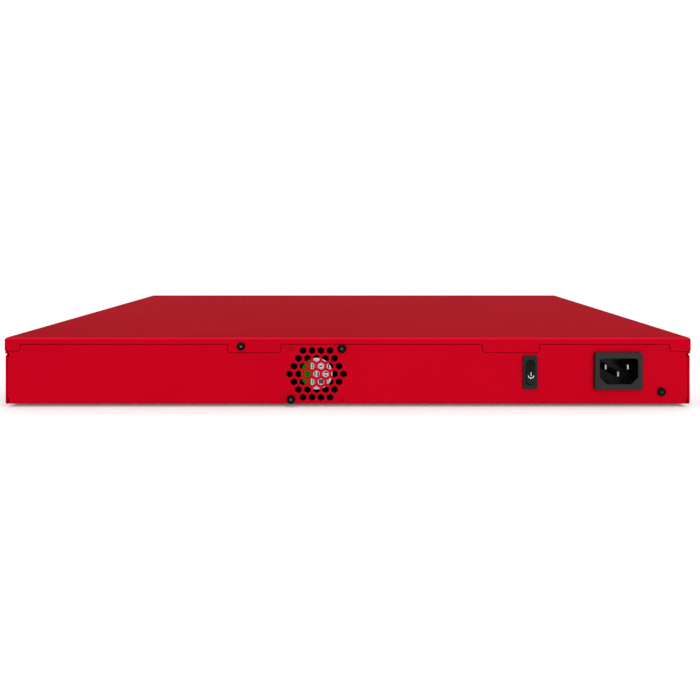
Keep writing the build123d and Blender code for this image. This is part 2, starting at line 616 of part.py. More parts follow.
def switch_rocker():
    """Rocker with two flat halves, tilted so that its upper half is pressed in."""
    half = ROCKER[1] / 2
    middle = Pos(SWITCH_X, ROCKER_PIVOT, SWITCH_Z)
    reach = 2 * ROCKER_RADIUS
    outline = along_y(SlotOverall(*ROCKER, rotation=90), -reach, reach)
    barrel = rod_x(ROCKER_PIVOT, SWITCH_Z, ROCKER_RADIUS, SWITCH_X - half, SWITCH_X + half)
    barrel &= middle * Rot(-ROCKER_TILT, 0, 0) * outline
    for tilt in (0, 2 * ROCKER_TILT):
        top = ROCKER_APEX * math.cos(math.radians(ROCKER_TILT))
        cutter = Pos(0, -top - reach / 2, 0) * Box(WIDTH, reach, 4 * reach)
        barrel -= middle * Rot(-tilt, 0, 0) * cutter
    back = block(
        (SWITCH_X - half, SWITCH_X + half), (ROCKER_PIVOT + 3.5, ROCKER_PIVOT + reach),
        (SWITCH_Z - reach, SWITCH_Z + reach),
    )
    pin = half + 0.55
    return barrel - back + rod_x(ROCKER_PIVOT, SWITCH_Z, 0.9, SWITCH_X - pin, SWITCH_X + pin)


# ---------------------------------------------------------------- boards and their parts


def board(x, y, fixings):
    plate = block(x, y, (BOARD_BOTTOM, BOARD_TOP))
    plate = fillet(plate.edges().filter_by(Axis.Z), 1.5)
    return plate - [rod_z(a, b, SHANK + 0.2, BOARD_BOTTOM - 1, BOARD_TOP + 1) for a, b in fixings]


def mainboard():
    return board(BOARD_X, BOARD_Y, BOARD_FIXINGS) - [
        rod_z(x, y, SHANK, BOARD_BOTTOM - 1, BOARD_TOP + 1) for x, y in sink_fixings()
    ]


def power_board():
    return board(SUPPLY_X, SUPPLY_Y, SUPPLY_FIXINGS)


def board_standoffs():
    posts = []
    for x, y in BOARD_FIXINGS + SUPPLY_FIXINGS:
        post = along_z(Pos(x, y) * RegularPolygon(2.75, 6, major_radius=False), DECK, BOARD_BOTTOM)
        posts.append(post - rod_z(x, y, SHANK, DECK + 1, BOARD_BOTTOM + 1))
    return posts


def board_screws():
    screws = [screw_down(x, y, BOARD_TOP, 6.5) for x, y in BOARD_FIXINGS + SUPPLY_FIXINGS]
    return screws + [drive_screw()]


def processor():
    base = standing(CPU_X, CPU_Y, (CPU_SIZE, CPU_SIZE, 1.2))
    lid = standing(CPU_X, CPU_Y, (CPU_SIZE - 6, CPU_SIZE - 6, 1.8), BOARD_TOP + 1.2)
    return base + fillet(lid.edges().filter_by(Axis.Z), 1.5)


def sink_fixings():
    reach = SINK_SIZE / 2 - 4.5
    return [(CPU_X + i * reach, CPU_Y + j * reach) for i in (-1, 1) for j in (-1, 1)]


SINK_BOTTOM = BOARD_TOP + 3.0
SINK_BASE = SINK_BOTTOM + 4.0


def processor_heatsink():
    sink = standing(CPU_X, CPU_Y, (SINK_SIZE, SINK_SIZE, SINK_BASE - SINK_BOTTOM), SINK_BOTTOM)
    fins = 14
    step = (SINK_SIZE - 1.2) / (fins - 1)
    for i in range(fins):
        x = CPU_X - SINK_SIZE / 2 + 0.6 + i * step
        sink += standing(x, CPU_Y, (1.2, SINK_SIZE, SINK_TOP - SINK_BASE), SINK_BASE)
    for x, y in sink_fixings():
        sink -= rod_z(x, y, 4.5, SINK_BASE, SINK_TOP + 1)
        sink -= rod_z(x, y, SHANK + 0.1, SINK_BOTTOM - 1, SINK_BASE + 1)
    return sink


def heatsink_screws():
    return [screw_down(x, y, SINK_BASE + 5.0, 13.5) for x, y in sink_fixings()]


def card_sockets():
    """Sockets of the two memory cards and of the storage card."""
    sockets = [drive_socket()]
    for x in MEMORY_X:
        body = block((x, x + 7.0), MEMORY_Y, (BOARD_TOP, BOARD_TOP + 5.2))
        body -= block((x + 3, x + 8), (MEMORY_Y[0] + 3, MEMORY_Y[1] - 3), (BOARD_TOP + 2.2, BOARD_TOP + 6))
        for y in (MEMORY_Y[0] + 1.2, MEMORY_Y[1] - 1.2):
            body += block((x + 6.0, x + 34.0), (y - 1.2, y + 1.2), (BOARD_TOP, BOARD_TOP + 4.6))
        sockets.append(body)
    return sockets


def memory_modules():
    modules = []
    y = (MEMORY_Y[0] + 3.1, MEMORY_Y[1] - 3.1)
    for x in MEMORY_X:
        card = block((x + 3.2, x + 33.0), y, (BOARD_TOP + 2.6, BOARD_TOP + 3.7))
        for i in range(4):
            centre = y[0] + (y[1] - y[0]) * (i + 0.5) / 4
            card += standing(x + 21.0, centre, (9.0, 11.0, 1.0), BOARD_TOP + 3.7)
        modules.append(card)
    return modules


def drive_module():
    """Narrow plug-in storage card."""
    card = block(DRIVE_X, DRIVE_Y, (BOARD_TOP + 3.0, BOARD_TOP + 3.8))
    middle = sum(DRIVE_X) / 2
    card -= rod_z(middle, DRIVE_Y[0], 1.8, BOARD_TOP, BOARD_TOP + 9)
    for i, size in enumerate(((14, 14, 1.2), (12, 16, 1.1), (12, 16, 1.1))):
        card += standing(middle, DRIVE_Y[1] - 18 - 22 * i, size, BOARD_TOP + 3.8)
    return card


def drive_socket():
    (left, right), end = DRIVE_X, DRIVE_Y[1]
    slot = block((left - 0.5, right + 0.5), (end - 4.0, end + 5.0), (BOARD_TOP, BOARD_TOP + 5.4))
    slot -= block((left - 0.1, right + 0.1), (end - 5, end + 0.1), (BOARD_TOP + 2.9, BOARD_TOP + 3.9))
    return slot


def drive_screw():
    """Shouldered screw that holds the free end of the storage card."""
    x, y = sum(DRIVE_X) / 2, DRIVE_Y[0]
    post = rod_z(x, y, 2.6, BOARD_TOP, BOARD_TOP + 3.0) + rod_z(x, y, 1.75, BOARD_TOP + 3.0, BOARD_TOP + 3.8)
    head = rod_z(x, y, 2.75, BOARD_TOP + 3.8, BOARD_TOP + 5.0)
    recess = along_z(Pos(x, y) * cross_recess(2.75), BOARD_TOP + 4.4, BOARD_TOP + 6)
    return post + head - recess


def battery_holder():
    body = rod_z(CELL_X, CELL_Y, CELL_RADIUS + 1.8, BOARD_TOP, BOARD_TOP + 4.6)
    body -= rod_z(CELL_X, CELL_Y, CELL_RADIUS + 0.15, BOARD_TOP + 1.0, BOARD_TOP + 6)
    return body - standing(CELL_X + CELL_RADIUS, CELL_Y, (8, 9, 5), BOARD_TOP + 1.0)


def coin_cell():
    cell = rod_z(CELL_X, CELL_Y, CELL_RADIUS, BOARD_TOP + 1.0, BOARD_TOP + 4.2)
    return fillet(cell.edges().filter_by(GeomType.CIRCLE), 0.5)


def jack_housing(jack):
    """Socket block with a cavity and a two-step latch notch for each port."""
    left, right = jack_span(jack)
    edge = SHIELD + 0.02
    body = block(
        (left + edge, right - edge), (JACK_FACE - JACK_DEPTH + edge, JACK_FACE),
        (BOARD_TOP, BOARD_TOP + JACK_HEIGHT - edge),
    )
    centre, ports = jack
    for i in range(ports):
        x = centre + (i - (ports - 1) / 2) * JACK_PITCH
        low = PORT_Z - PORT[1] / 2
        steps = ((PORT[0], low, low + PORT[1]), (6.4, low - 1.6, low), (3.4, low - 3.0, low))
        for width, bottom, top in steps:
            cavity = rectangle((x - width / 2, x + width / 2), (bottom, top + 0.01))
            body -= along_y(cavity, JACK_FACE - PORT[2], JACK_FACE + 1)
    return body


def jack_shields():
    shields = []
    for jack in (LAN_LEFT, LAN_RIGHT, CONSOLE):
        left, right = jack_span(jack)
        back, face, top = JACK_FACE - JACK_DEPTH, JACK_FACE - 0.2, BOARD_TOP + JACK_HEIGHT
        shell = block((left, right), (back, face), (BOARD_TOP, top))
        hollow = block(
            (left + SHIELD, right - SHIELD), (back + SHIELD, face + 1), (BOARD_TOP - 1, top - SHIELD)
        )
        shields.append(shell - hollow)
    return shields


def usb_port_places():
    return [BOARD_TOP + 3.9, BOARD_TOP + 11.5]


def usb_jack():
    """Pressed shell around two stacked ports."""
    half = USB[0] / 2
    depth = (JACK_FACE - USB[2], JACK_FACE)
    shell = block((USB_X - half, USB_X + half), depth, (BOARD_TOP, BOARD_TOP + USB[1]))
    port_half = USB_PORT[0] / 2
    for z in usb_port_places():
        hole = rectangle((USB_X - port_half, USB_X + port_half), (z - USB_PORT[1] / 2, z + USB_PORT[1] / 2))
        shell -= along_y(hole, JACK_FACE - USB[2] + USB_SHELL, JACK_FACE + 1)
    return shell


def usb_tongues():
    tongues = []
    half = USB_PORT[0] / 2 - 0.05
    for z in usb_port_places():
        back = JACK_FACE - USB[2] + USB_SHELL
        x = (USB_X - half, USB_X + half)
        core = block(x, (back, back + 5.0), (z - USB_PORT[1] / 2 + 0.05, z + USB_PORT[1] / 2 - 0.05))
        tongue = block((USB_X - 5.6, USB_X + 5.6), (back + 5.0, JACK_FACE - 1.5), (z + 0.3, z + 2.1))
        tongues.append(core + tongue)
    return tongues


def light_pipes():
    pipes = []
    for x in LED_X:
        pipe = rod_y(x, LED_Z, PIPE_RADIUS, JACK_FACE - 12.0, FRONT - 0.3)
        y = (JACK_FACE - 13.3, JACK_FACE - 10.7)
        pipe += block((x - 1.3, x + 1.3), y, (BOARD_TOP + 1.2, LED_Z + 1.3))
        pipes.append(pipe)
    return pipes


def pipe_carrier():
    """Black holder that carries the light pipes above their lamps."""
    x = (LED_X[0] - 4.0, LED_X[-1] + 4.0)
    carrier = block(x, (JACK_FACE - 15.5, JACK_FACE - 8.5), (BOARD_TOP, BOARD_TOP + 9.0))
    slot_y = (JACK_FACE - 13.4, JACK_FACE - 10.6)
    for led in LED_X:
        carrier -= block((led - 1.4, led + 1.4), slot_y, (BOARD_TOP - 1, BOARD_TOP + 10))
    return carrier


RESET_BACK = FRONT - 10.0  # front face of the reset switch


def reset_switch():
    x, y = (RESET_X - 3.2, RESET_X + 3.2), (RESET_BACK - 5.5, RESET_BACK)
    body = block(x, y, (BOARD_TOP, RESET_Z + 3.2))
    return body - rod_y(RESET_X, RESET_Z, RESET_RADIUS + 0.06, RESET_BACK - 2.0, RESET_BACK + 1)


def reset_button():
    button = rod_y(RESET_X, RESET_Z, RESET_RADIUS, RESET_BACK - 1.2, FRONT - 1.6)
    button = fillet(button.edges().filter_by(GeomType.CIRCLE).sort_by(Axis.Y)[-1], 0.3)
    return button + rod_y(RESET_X, RESET_Z, 2.0, PANEL_BACK - 1.8, PANEL_BACK - 0.8)


def soft_block(x, y, size, corner):
    """Standing block with rounded upright edges."""
    return fillet(standing(x, y, size).edges().filter_by(Axis.Z), corner)


def lan_chips():
    return [standing(x, 104.0, (14.0, 14.0, 1.4)) for x in (LAN_LEFT[0], LAN_RIGHT[0])]


def lan_transformers():
    places = [jack[0] + side * 14.0 for jack in (LAN_LEFT, LAN_RIGHT) for side in (-1, 1)]
    return [soft_block(x, 122.0, (17.0, 11.0, 5.6), 0.6) for x in places]


def board_chokes():
    return [soft_block(100.0, 24.0 + 12.0 * i, (9.0, 9.0, 4.5), 1.2) for i in range(6)]


def can(x, y, radius, height):
    """Aluminium-can capacitor with a crimped neck."""
    body = rod_z(x, y, radius, BOARD_TOP + 0.2, BOARD_TOP + height)
    body = fillet(body.edges().filter_by(GeomType.CIRCLE), radius * 0.12)
    groove = rod_z(x, y, radius + 1, BOARD_TOP + 1.6, BOARD_TOP + 2.3) - rod_z(x, y, radius * 0.93, 0, TOP)
    return body - groove


def capacitors():
    """Small cans on the main board and at the power supply's output."""
    on_board = [can(x, y, 3.6, 9.0) for x in (150.0, 160.0, 170.0) for y in (28.0, 40.0, 52.0)]
    on_supply = [can(x, y, 4.2, 20.0) for x in (186.2, 195.2) for y in (-40.0, -50.0)]
    return on_board + on_supply


def wire_headers():
    """Open-topped headers: board power, fan, mains input and supply output."""
    headers = []
    for (x, y), size in HEADERS:
        width, depth, height = size
        hollow = standing(x, y, (width - 1.6, depth - 1.6, height), BOARD_TOP + 1.8)
        headers.append(standing(x, y, size) - hollow)
    return headers


def power_transformer():
    """Ferrite core around a taped winding."""
    x, y = TRANSFORMER
    core = standing(x, y, (22.0, 27.0, 20.0), BOARD_TOP + 2.0)
    core -= standing(x, y + 9.0, (24.0, 5.0, 14.0), BOARD_TOP + 5.0)
    core -= standing(x, y - 9.0, (24.0, 5.0, 14.0), BOARD_TOP + 5.0)
    winding = along_x(Pos(y, BOARD_TOP + 12.0) * RectangleRounded(22.8, 13.8, 3.0), x - 13.0, x + 13.0)
    winding -= standing(x, y, (22.1, 13.1, 21.0), BOARD_TOP + 1.5)
    foot = standing(x, y, (26.0, 29.0, 2.0))
    return [core, winding, foot]


def bulk_capacitor():
    x, y = BULK_CAPACITOR
    body = rod_z(x, y, 9.0, BOARD_TOP + 0.2, BOARD_TOP + 25.0)
    body = fillet(body.edges().filter_by(GeomType.CIRCLE), 1.2)
    groove = rod_z(x, y, 11.0, BOARD_TOP + 2.2, BOARD_TOP + 3.2) - rod_z(x, y, 8.3, 0, TOP)
    return body - groove


def power_heatsinks():
    """Two upright finned plates."""
    sinks = []
    for x, y, side in POWER_SINKS:
        sink = standing(x, y, (2.0, 30.0, 21.0))
        for i in range(5):
            sink += standing(x + side * 2.0, y - 12.0 + 6.0 * i, (3.0, 1.2, 21.0))
        sinks.append(sink)
    return sinks


def power_chokes():
    """Mains filter choke and output choke, wound on rings."""
    chokes = []
    for x, y, outer, inner, height in POWER_CHOKES:
        ring = along_z(Pos(x, y) * (Circle(outer) - Circle(inner)), BOARD_TOP + 0.5, BOARD_TOP + height)
        chokes.append(fillet(ring.edges(), 1.6))
    return chokes


def insulator_sheet():
    x, y = ((low - 2, high + 2) for low, high in (SUPPLY_X, SUPPLY_Y))
    sheet = block(x, y, (DECK, DECK + 0.3))
    return sheet - [rod_z(x, y, 3.6, DECK - 1, DECK + 1) for x, y in SUPPLY_FIXINGS]


# ---------------------------------------------------------------- wires

INLET_TABS = REAR + INLET_BODY[2] + 2.5  # where the spade connectors start
SWITCH_TABS = REAR + SWITCH_BODY[2] + 2.5
SPADE = 11.0
MAINS_WIRE, SUPPLY_WIRE, FAN_WIRE = 1.2, 0.85, 0.6


def spade_connectors():
    """Insulated crimp sleeves on the inlet's and the switch's tabs."""
    sleeves = []
    places = [(x, z, INLET_TABS, REAR + INLET_BODY[2] + 8.0) for x, z in inlet_pin_places()]
    places += [(x, z, SWITCH_TABS, REAR + SWITCH_BODY[2] + 8.5) for x, z in switch_tabs()]
    for x, z, start, tab_end in places:
        sleeve = along_y(Pos(x, z) * RectangleRounded(3.2, 7.2, 1.2), start, start + SPADE)
        sleeves.append(sleeve - along_y(Pos(x, z) * Rectangle(0.84, 4.84), start - 1, tab_end + 0.02))
    return sleeves


def line_wires():
    """From the inlet to the switch, and from the switch to the power supply."""
    (inlet_x, inlet_z), (low_x, low_z), (high_x, high_z) = inlet_pin_places()[0], *switch_tabs()
    end, switch_end = INLET_TABS + SPADE, SWITCH_TABS + SPADE
    header_x, header_y = MAINS_HEADER
    first = [
        (inlet_x, end, inlet_z), (inlet_x, end + 9, inlet_z), (inlet_x - 12, end + 17, inlet_z - 3),
        (low_x + 15, end + 16, low_z + 1), (low_x, switch_end + 9, low_z), (low_x, switch_end, low_z),
    ]
    second = [
        (high_x, switch_end, high_z), (high_x, switch_end + 9, high_z),
        (high_x + 10, switch_end + 19, high_z + 2), (high_x + 28, switch_end + 22, high_z + 3),
        (header_x - 6, header_y + 3, high_z + 2),
        (header_x - 6, header_y, BOARD_TOP + 10.0), (header_x - 6, header_y, BOARD_TOP + 3.0),
    ]
    return [cable(first, MAINS_WIRE), cable(second, MAINS_WIRE)]


def neutral_wire():
    x, z = inlet_pin_places()[1]
    end = INLET_TABS + SPADE
    header_x, header_y = MAINS_HEADER
    route = [
        (x, end, z), (x, end + 5, z), (x - 3, end + 9, z + 2), (header_x + 1.5, header_y - 0.5, z + 1),
        (header_x, header_y, BOARD_TOP + 10.0), (header_x, header_y, BOARD_TOP + 3.0),
    ]
    return cable(route, MAINS_WIRE)


def earth_wire():
    x, z = inlet_pin_places()[2]
    end = INLET_TABS + SPADE
    lug = REAR_INSIDE + 0.8 + MAINS_WIRE
    route = [
        (x, end, z), (x, end + 3, z), (x + 9, end + 4, z - 1), (GROUND_X - 6, end - 4, GROUND_Z + 15),
        (GROUND_X, lug + 6, GROUND_Z + 17), (GROUND_X, lug + 0.5, GROUND_Z + 12),
        (GROUND_X, lug, GROUND_Z + 6.0),
    ]
    return cable(route, MAINS_WIRE)


def supply_leads():
    """Six leads from the power supply to the main board."""
    leads = []
    start, end = SUPPLY_HEADER[1], BOARD_HEADER[1]
    for i in range(6):
        x = SUPPLY_HEADER[0] + (i - 2.5) * 2.1
        rise = BOARD_TOP + 16.0 + 0.6 * (i % 2)
        route = [
            (x, start, BOARD_TOP + 3.0), (x, start, BOARD_TOP + 12.0), (x, start + 9, rise),
            (x, end - 12, rise + 0.5), (x, end, BOARD_TOP + 12.5), (x, end, BOARD_TOP + 3.0),
        ]
        leads.append(cable(route, SUPPLY_WIRE))
    return leads


def fan_leads():
    """Three leads along the floor from the fan to its header."""
    leads = []
    side = FAN_X - FAN_SIZE / 2
    header_x, header_y = FAN_HEADER
    for i in range(3):
        lane = 1.3 * i
        pin_x = header_x + 2.6 * (1 - i)
        route = [
            (side, -133.5, 6.0 + lane), (side - 7 - lane, -133.5, 6.0 + lane),
            (side - 13 - lane, -124.0, 4.0),
            (side - 14 - lane, -90.0, 3.9), (side - 10 - lane, -48.0, 3.9), (side - 13 - lane, -10.0, 4.2),
            (side - 10 - lane, 0.0, 14.0), (pin_x, header_y - 4, BOARD_TOP + 12.0),
            (pin_x, header_y, BOARD_TOP + 2.4),
        ]
        leads.append(cable(route, FAN_WIRE))
    return leads


# ---------------------------------------------------------------- the assembly


def lan_jack_left():
    return jack_housing(LAN_LEFT)


def lan_jack_right():
    return jack_housing(LAN_RIGHT)


def console_jack():
    return jack_housing(CONSOLE)


NODES = (
    base_tray, rear_top_rail, top_cover, cover_screw,
    front_panel, front_bezel, rubber_feet, rack_ear_inserts,
    fan_frame, fan_label, fan_bearings, fan_stator, fan_rotor, fan_shaft, fan_screws,
    inlet_body, inlet_pins, switch_housing, switch_terminals, switch_rocker, ground_screw, ground_lug,
    mainboard, power_board, board_standoffs, board_screws, insulator_sheet,
    processor, processor_heatsink, heatsink_screws, card_sockets, memory_modules,
    drive_module, battery_holder, coin_cell,
    lan_jack_left, lan_jack_right, console_jack, jack_shields, usb_jack, usb_tongues,
    light_pipes, pipe_carrier, reset_switch, reset_button,
    lan_chips, lan_transformers, board_chokes, capacitors, wire_headers,
    power_transformer, bulk_capacitor, power_heatsinks, power_chokes,
    spade_connectors, line_wires, neutral_wire, earth_wire, supply_leads, fan_leads,
)

os.makedirs("parts", exist_ok=True)
for node in NODES:
    write(node.__name__, node())
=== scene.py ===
import json
import math
import random

import bmesh
import bpy
from mathutils import Matrix, Vector


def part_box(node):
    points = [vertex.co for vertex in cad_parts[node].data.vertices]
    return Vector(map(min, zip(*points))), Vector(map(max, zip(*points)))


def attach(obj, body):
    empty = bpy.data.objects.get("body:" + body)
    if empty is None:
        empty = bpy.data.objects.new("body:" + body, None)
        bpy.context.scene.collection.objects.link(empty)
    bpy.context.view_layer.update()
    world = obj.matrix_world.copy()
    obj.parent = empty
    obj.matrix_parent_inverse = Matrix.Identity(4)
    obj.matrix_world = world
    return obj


# A one-unit rack firewall appliance seen from behind. Metres; +X right, +Y from rear to front, +Z up.

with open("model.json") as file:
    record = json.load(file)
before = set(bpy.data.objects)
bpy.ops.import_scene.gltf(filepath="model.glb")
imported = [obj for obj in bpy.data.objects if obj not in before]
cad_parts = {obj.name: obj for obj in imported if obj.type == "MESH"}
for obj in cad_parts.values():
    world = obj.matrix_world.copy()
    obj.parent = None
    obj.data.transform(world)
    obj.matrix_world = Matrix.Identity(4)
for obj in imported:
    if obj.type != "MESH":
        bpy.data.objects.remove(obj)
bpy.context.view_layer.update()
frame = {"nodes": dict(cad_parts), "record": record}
nodes = frame["nodes"]
MM = 0.001

REAR_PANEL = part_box("base_tray")[0].y
FLOOR_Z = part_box("rubber_feet")[0].z
WHITE = (1.0, 1.0, 1.0, 1.0)
X, Y, Z = 0, 1, 2


# ---------------------------------------------------------------- camera, floor and light

CAMERA_DISTANCE = 0.4326  # from the rear panel
CAMERA_HEIGHT = 0.1080
CAMERA_SIDE = 0.0095
LENS, SENSOR = 35.42, 36.0
SHIFT = (-0.0183, -0.1636)
WORLD_LEVEL = 0.3  # of the sky that lights the unit
BACKDROP_LEVEL = 1.2  # of the white behind it
FLOOR_HALF = 12.0
FLOOR_COLOUR = (0.945, 0.975, 0.975, 1.0)  # slightly green, against the red that the body throws on it
FLOOR_GLOW = 0.07  # keeps the pale floor white beside the body
FLOOR_GLOW_COLOUR = (0.8, 1.0, 1.0, 1.0)


def make_camera():
    data = bpy.data.cameras.new("camera")
    data.lens = LENS
    data.sensor_width = SENSOR
    data.shift_x, data.shift_y = SHIFT
    data.clip_start, data.clip_end = 0.01, 50.0
    camera = bpy.data.objects.new("camera", data)
    camera.location = (CAMERA_SIDE, REAR_PANEL - CAMERA_DISTANCE, FLOOR_Z + CAMERA_HEIGHT)
    camera.rotation_euler = (math.pi / 2, 0.0, 0.0)
    bpy.context.collection.objects.link(camera)
    bpy.context.scene.camera = camera


def make_floor():
    mesh = bpy.data.meshes.new("floor")
    signs = ((-1, -1), (1, -1), (1, 1), (-1, 1))
    corners = [(x * FLOOR_HALF, y * FLOOR_HALF, FLOOR_Z) for x, y in signs]
    mesh.from_pydata(corners, [], [(0, 1, 2, 3)])
    floor = bpy.data.objects.new("floor", mesh)
    bpy.context.collection.objects.link(floor)
    material = bpy.data.materials.new("floor")
    material.use_nodes = True
    shader = material.node_tree.nodes["Principled BSDF"]
    shader.inputs["Base Color"].default_value = FLOOR_COLOUR
    shader.inputs["Roughness"].default_value = 1.0
    shader.inputs["Specular IOR Level"].default_value = 0.0
    shader.inputs["Emission Color"].default_value = FLOOR_GLOW_COLOUR
    shader.inputs["Emission Strength"].default_value = FLOOR_GLOW
    mesh.materials.append(material)


def sun(name, source, strength, spread):
    """Even light from the direction of source, softened over a spread in degrees."""
    data = bpy.data.lights.new(name, "SUN")
    data.energy = strength
    data.angle = math.radians(spread)
    light = bpy.data.objects.new(name, data)
    light.rotation_euler = (-Vector(source)).to_track_quat("-Z", "Y").to_euler()
    bpy.context.collection.objects.link(light)


def make_light():
    sun("overhead", (0.1, -0.25, 1.0), 1.8, 110.0)
    sun("front", (0.15, -1.0, 0.25), 2.6, 60.0)
    world = bpy.data.worlds.new("studio")
    world.use_nodes = True
    tree = world.node_tree
    background = tree.nodes["Background"]
    background.inputs["Color"].default_value = WHITE
    path = tree.nodes.new("ShaderNodeLightPath")
    level = tree.nodes.new("ShaderNodeMapRange")
    level.inputs["To Min"].default_value = WORLD_LEVEL
    level.inputs["To Max"].default_value = BACKDROP_LEVEL
    tree.links.new(path.outputs["Is Camera Ray"], level.inputs["Value"])
    tree.links.new(level.outputs["Result"], background.inputs["Strength"])
    bpy.context.scene.world = world
    bpy.context.scene.view_settings.view_transform = "Standard"
    bpy.context.scene.view_settings.look = "None"


make_camera()
make_floor()
make_light()


# ---------------------------------------------------------------- measuring the CAD nodes


def box_mm(name):
    low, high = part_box(name)
    return low / MM, high / MM


def solids(name):
    """Boxes in millimetres, low and high, of a node's separate solids."""
    node = nodes[name]
    shape = bmesh.new()
    shape.from_mesh(node.data)
    shape.transform(node.matrix_world)
    bmesh.ops.remove_doubles(shape, verts=shape.verts, dist=1e-6)
    waiting = set(shape.verts)
    boxes = []
    while waiting:
        stack = [waiting.pop()]
        places = []
        while stack:
            vertex = stack.pop()
            places.append(vertex.co / MM)
            for edge in vertex.link_edges:
                other = edge.other_vert(vertex)
                if other in waiting:
                    waiting.remove(other)
                    stack.append(other)
        low = Vector([min(place[i] for place in places) for i in range(3)])
        high = Vector([max(place[i] for place in places) for i in range(3)])
        boxes.append((low, high))
    shape.free()
    return sorted(boxes, key=lambda pair: tuple(pair[0]))


def centres(name):
    """Centres in metres of a node's separate solids."""
    return [(low + high) * MM / 2 for low, high in solids(name)]


def middle(low, high):
    """x and y of a box's centre."""
    return (low.x + high.x) / 2, (low.y + high.y) / 2


# ---------------------------------------------------------------- node helpers

COLOUR_A, COLOUR_B, MIXED = 6, 7, 2  # the mix node's own colour inputs, and its colour output


class Nodes:
    """Short names for building one material's nodes. Inputs are sockets or numbers."""

    TITLES = {
        "specular": "Specular IOR Level",
        "ior": "IOR",
        "transmission": "Transmission Weight",
        "tint": "Specular Tint",
    }

    def __init__(self, name):
        self.material = bpy.data.materials.new(name)
        self.material.use_nodes = True
        self.tree = self.material.node_tree
        self.shader = self.tree.nodes["Principled BSDF"]
        self.coords = self.tree.nodes.new("ShaderNodeTexCoord").outputs["Object"]

    def put(self, socket, value):
        if isinstance(value, bpy.types.NodeSocket):
            self.tree.links.new(value, socket)
        else:
            socket.default_value = value

    def math(self, operation, a, b=0.0):
        node = self.tree.nodes.new("ShaderNodeMath")
        node.operation = operation
        self.put(node.inputs[0], a)
        self.put(node.inputs[1], b)
        return node.outputs[0]

    def axes(self, vector=None):
        node = self.tree.nodes.new("ShaderNodeSeparateXYZ")
        self.put(node.inputs[0], vector or self.coords)
        return node.outputs

    def normal(self):
        return self.axes(self.tree.nodes.new("ShaderNodeNewGeometry").outputs["True Normal"])

    def between(self, value, low, high):
        """1 where value lies between low and high."""
        above = self.math("GREATER_THAN", value, low)
        below = self.math("LESS_THAN", value, high)
        return self.math("MULTIPLY", above, below)

    def any_of(self, masks):
        """1 where at least one of the masks is 1."""
        total = masks[0]
        for mask in masks[1:]:
            total = self.math("MAXIMUM", total, mask)
        return total

    def noise(self, scale, detail=2.0, roughness=0.5, stretch=None):
        node = self.tree.nodes.new("ShaderNodeTexNoise")
        vector = self.coords
        if stretch:
            mapping = self.tree.nodes.new("ShaderNodeMapping")
            mapping.inputs["Scale"].default_value = stretch
            self.put(mapping.inputs["Vector"], self.coords)
            vector = mapping.outputs[0]
        self.put(node.inputs["Vector"], vector)
        node.inputs["Scale"].default_value = scale
        node.inputs["Detail"].default_value = detail
        node.inputs["Roughness"].default_value = roughness
        return node.outputs["Fac"]

    def cells(self, scale, output="Distance"):
        node = self.tree.nodes.new("ShaderNodeTexVoronoi")
        self.put(node.inputs["Vector"], self.coords)
        node.inputs["Scale"].default_value = scale
        return node.outputs[output]

    def remap(self, value, low, high, to_low=0.0, to_high=1.0):
        node = self.tree.nodes.new("ShaderNodeMapRange")
        for socket, number in zip(node.inputs, (value, low, high, to_low, to_high)):
            self.put(socket, number)
        return node.outputs[0]

    def mix(self, factor, a, b):
        """Mix of two colours."""
        node = self.tree.nodes.new("ShaderNodeMix")
        node.data_type = "RGBA"
        self.put(node.inputs["Factor"], factor)
        self.put(node.inputs[COLOUR_A], a)
        self.put(node.inputs[COLOUR_B], b)
        return node.outputs[MIXED]

    def bump(self, height, strength, distance):
        """Relief from a height; distance is the depth in metres. Reliefs add up."""
        node = self.tree.nodes.new("ShaderNodeBump")
        node.inputs["Strength"].default_value = strength
        node.inputs["Distance"].default_value = distance
        self.put(node.inputs["Height"], height)
        normal = self.shader.inputs["Normal"]
        if normal.is_linked:
            self.tree.links.new(normal.links[0].from_socket, node.inputs["Normal"])
        self.tree.links.new(node.outputs["Normal"], normal)

    def set(self, **values):
        """Sets or links the shader's own inputs, such as base_color or roughness."""
        for name, value in values.items():
            title = self.TITLES.get(name, name.replace("_", " ").title())
            self.put(self.shader.inputs[title], value)


def grey(level):
    return (level, level, level, 1.0)


# ---------------------------------------------------------------- materials

COAT_RED = (0.405, 0.0014, 0.0098, 1.0)
COAT_RED_DARK = (0.366, 0.001, 0.0082, 1.0)
# painted highlight: a brighter red for the rounded bends
COAT_RED_FOLD_HIGHLIGHT = (0.5, 0.007, 0.024, 1.0)
COAT_SHADE = (0.09, 0.0006, 0.003, 1.0)
COAT_TINT = (1.0, 0.03, 0.08, 1.0)
ZINC_LIGHT = (0.49, 0.5, 0.52, 1.0)
ZINC_DARK = (0.38, 0.39, 0.41, 1.0)


def inside_mask(m, node, faces):
    """1 on a folded sheet's inner faces. faces are the sides of the node's box that have metal."""
    low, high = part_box(node)
    place, normal = m.axes(), m.normal()
    margin = 2.2 * MM
    clear_of_rear = m.math("GREATER_THAN", place[Y], REAR_PANEL + 6 * MM)
    inner = []
    for axis, side in faces:
        if side > 0:
            near = m.math("GREATER_THAN", place[axis], high[axis] - margin)
        else:
            near = m.math("LESS_THAN", place[axis], low[axis] + margin)
        inward = m.math("LESS_THAN", m.math("MULTIPLY", normal[axis], side), -0.6)
        inner.append(m.math("MULTIPLY", inward, near))
    return m.math("MULTIPLY", m.any_of(inner), clear_of_rear)


def spots(m, places, radius):
    """1 within a radius of any of the places, seen along the depth of the unit."""
    point = m.axes()
    near = []
    for place in places:
        dx, dz = (m.math("SUBTRACT", point[axis], place[axis]) for axis in (X, Z))
        reach = m.math("SQRT", m.math("ADD", m.math("POWER", dx, 2.0), m.math("POWER", dz, 2.0)))
        near.append(m.math("LESS_THAN", reach, radius))
    return m.any_of(near)


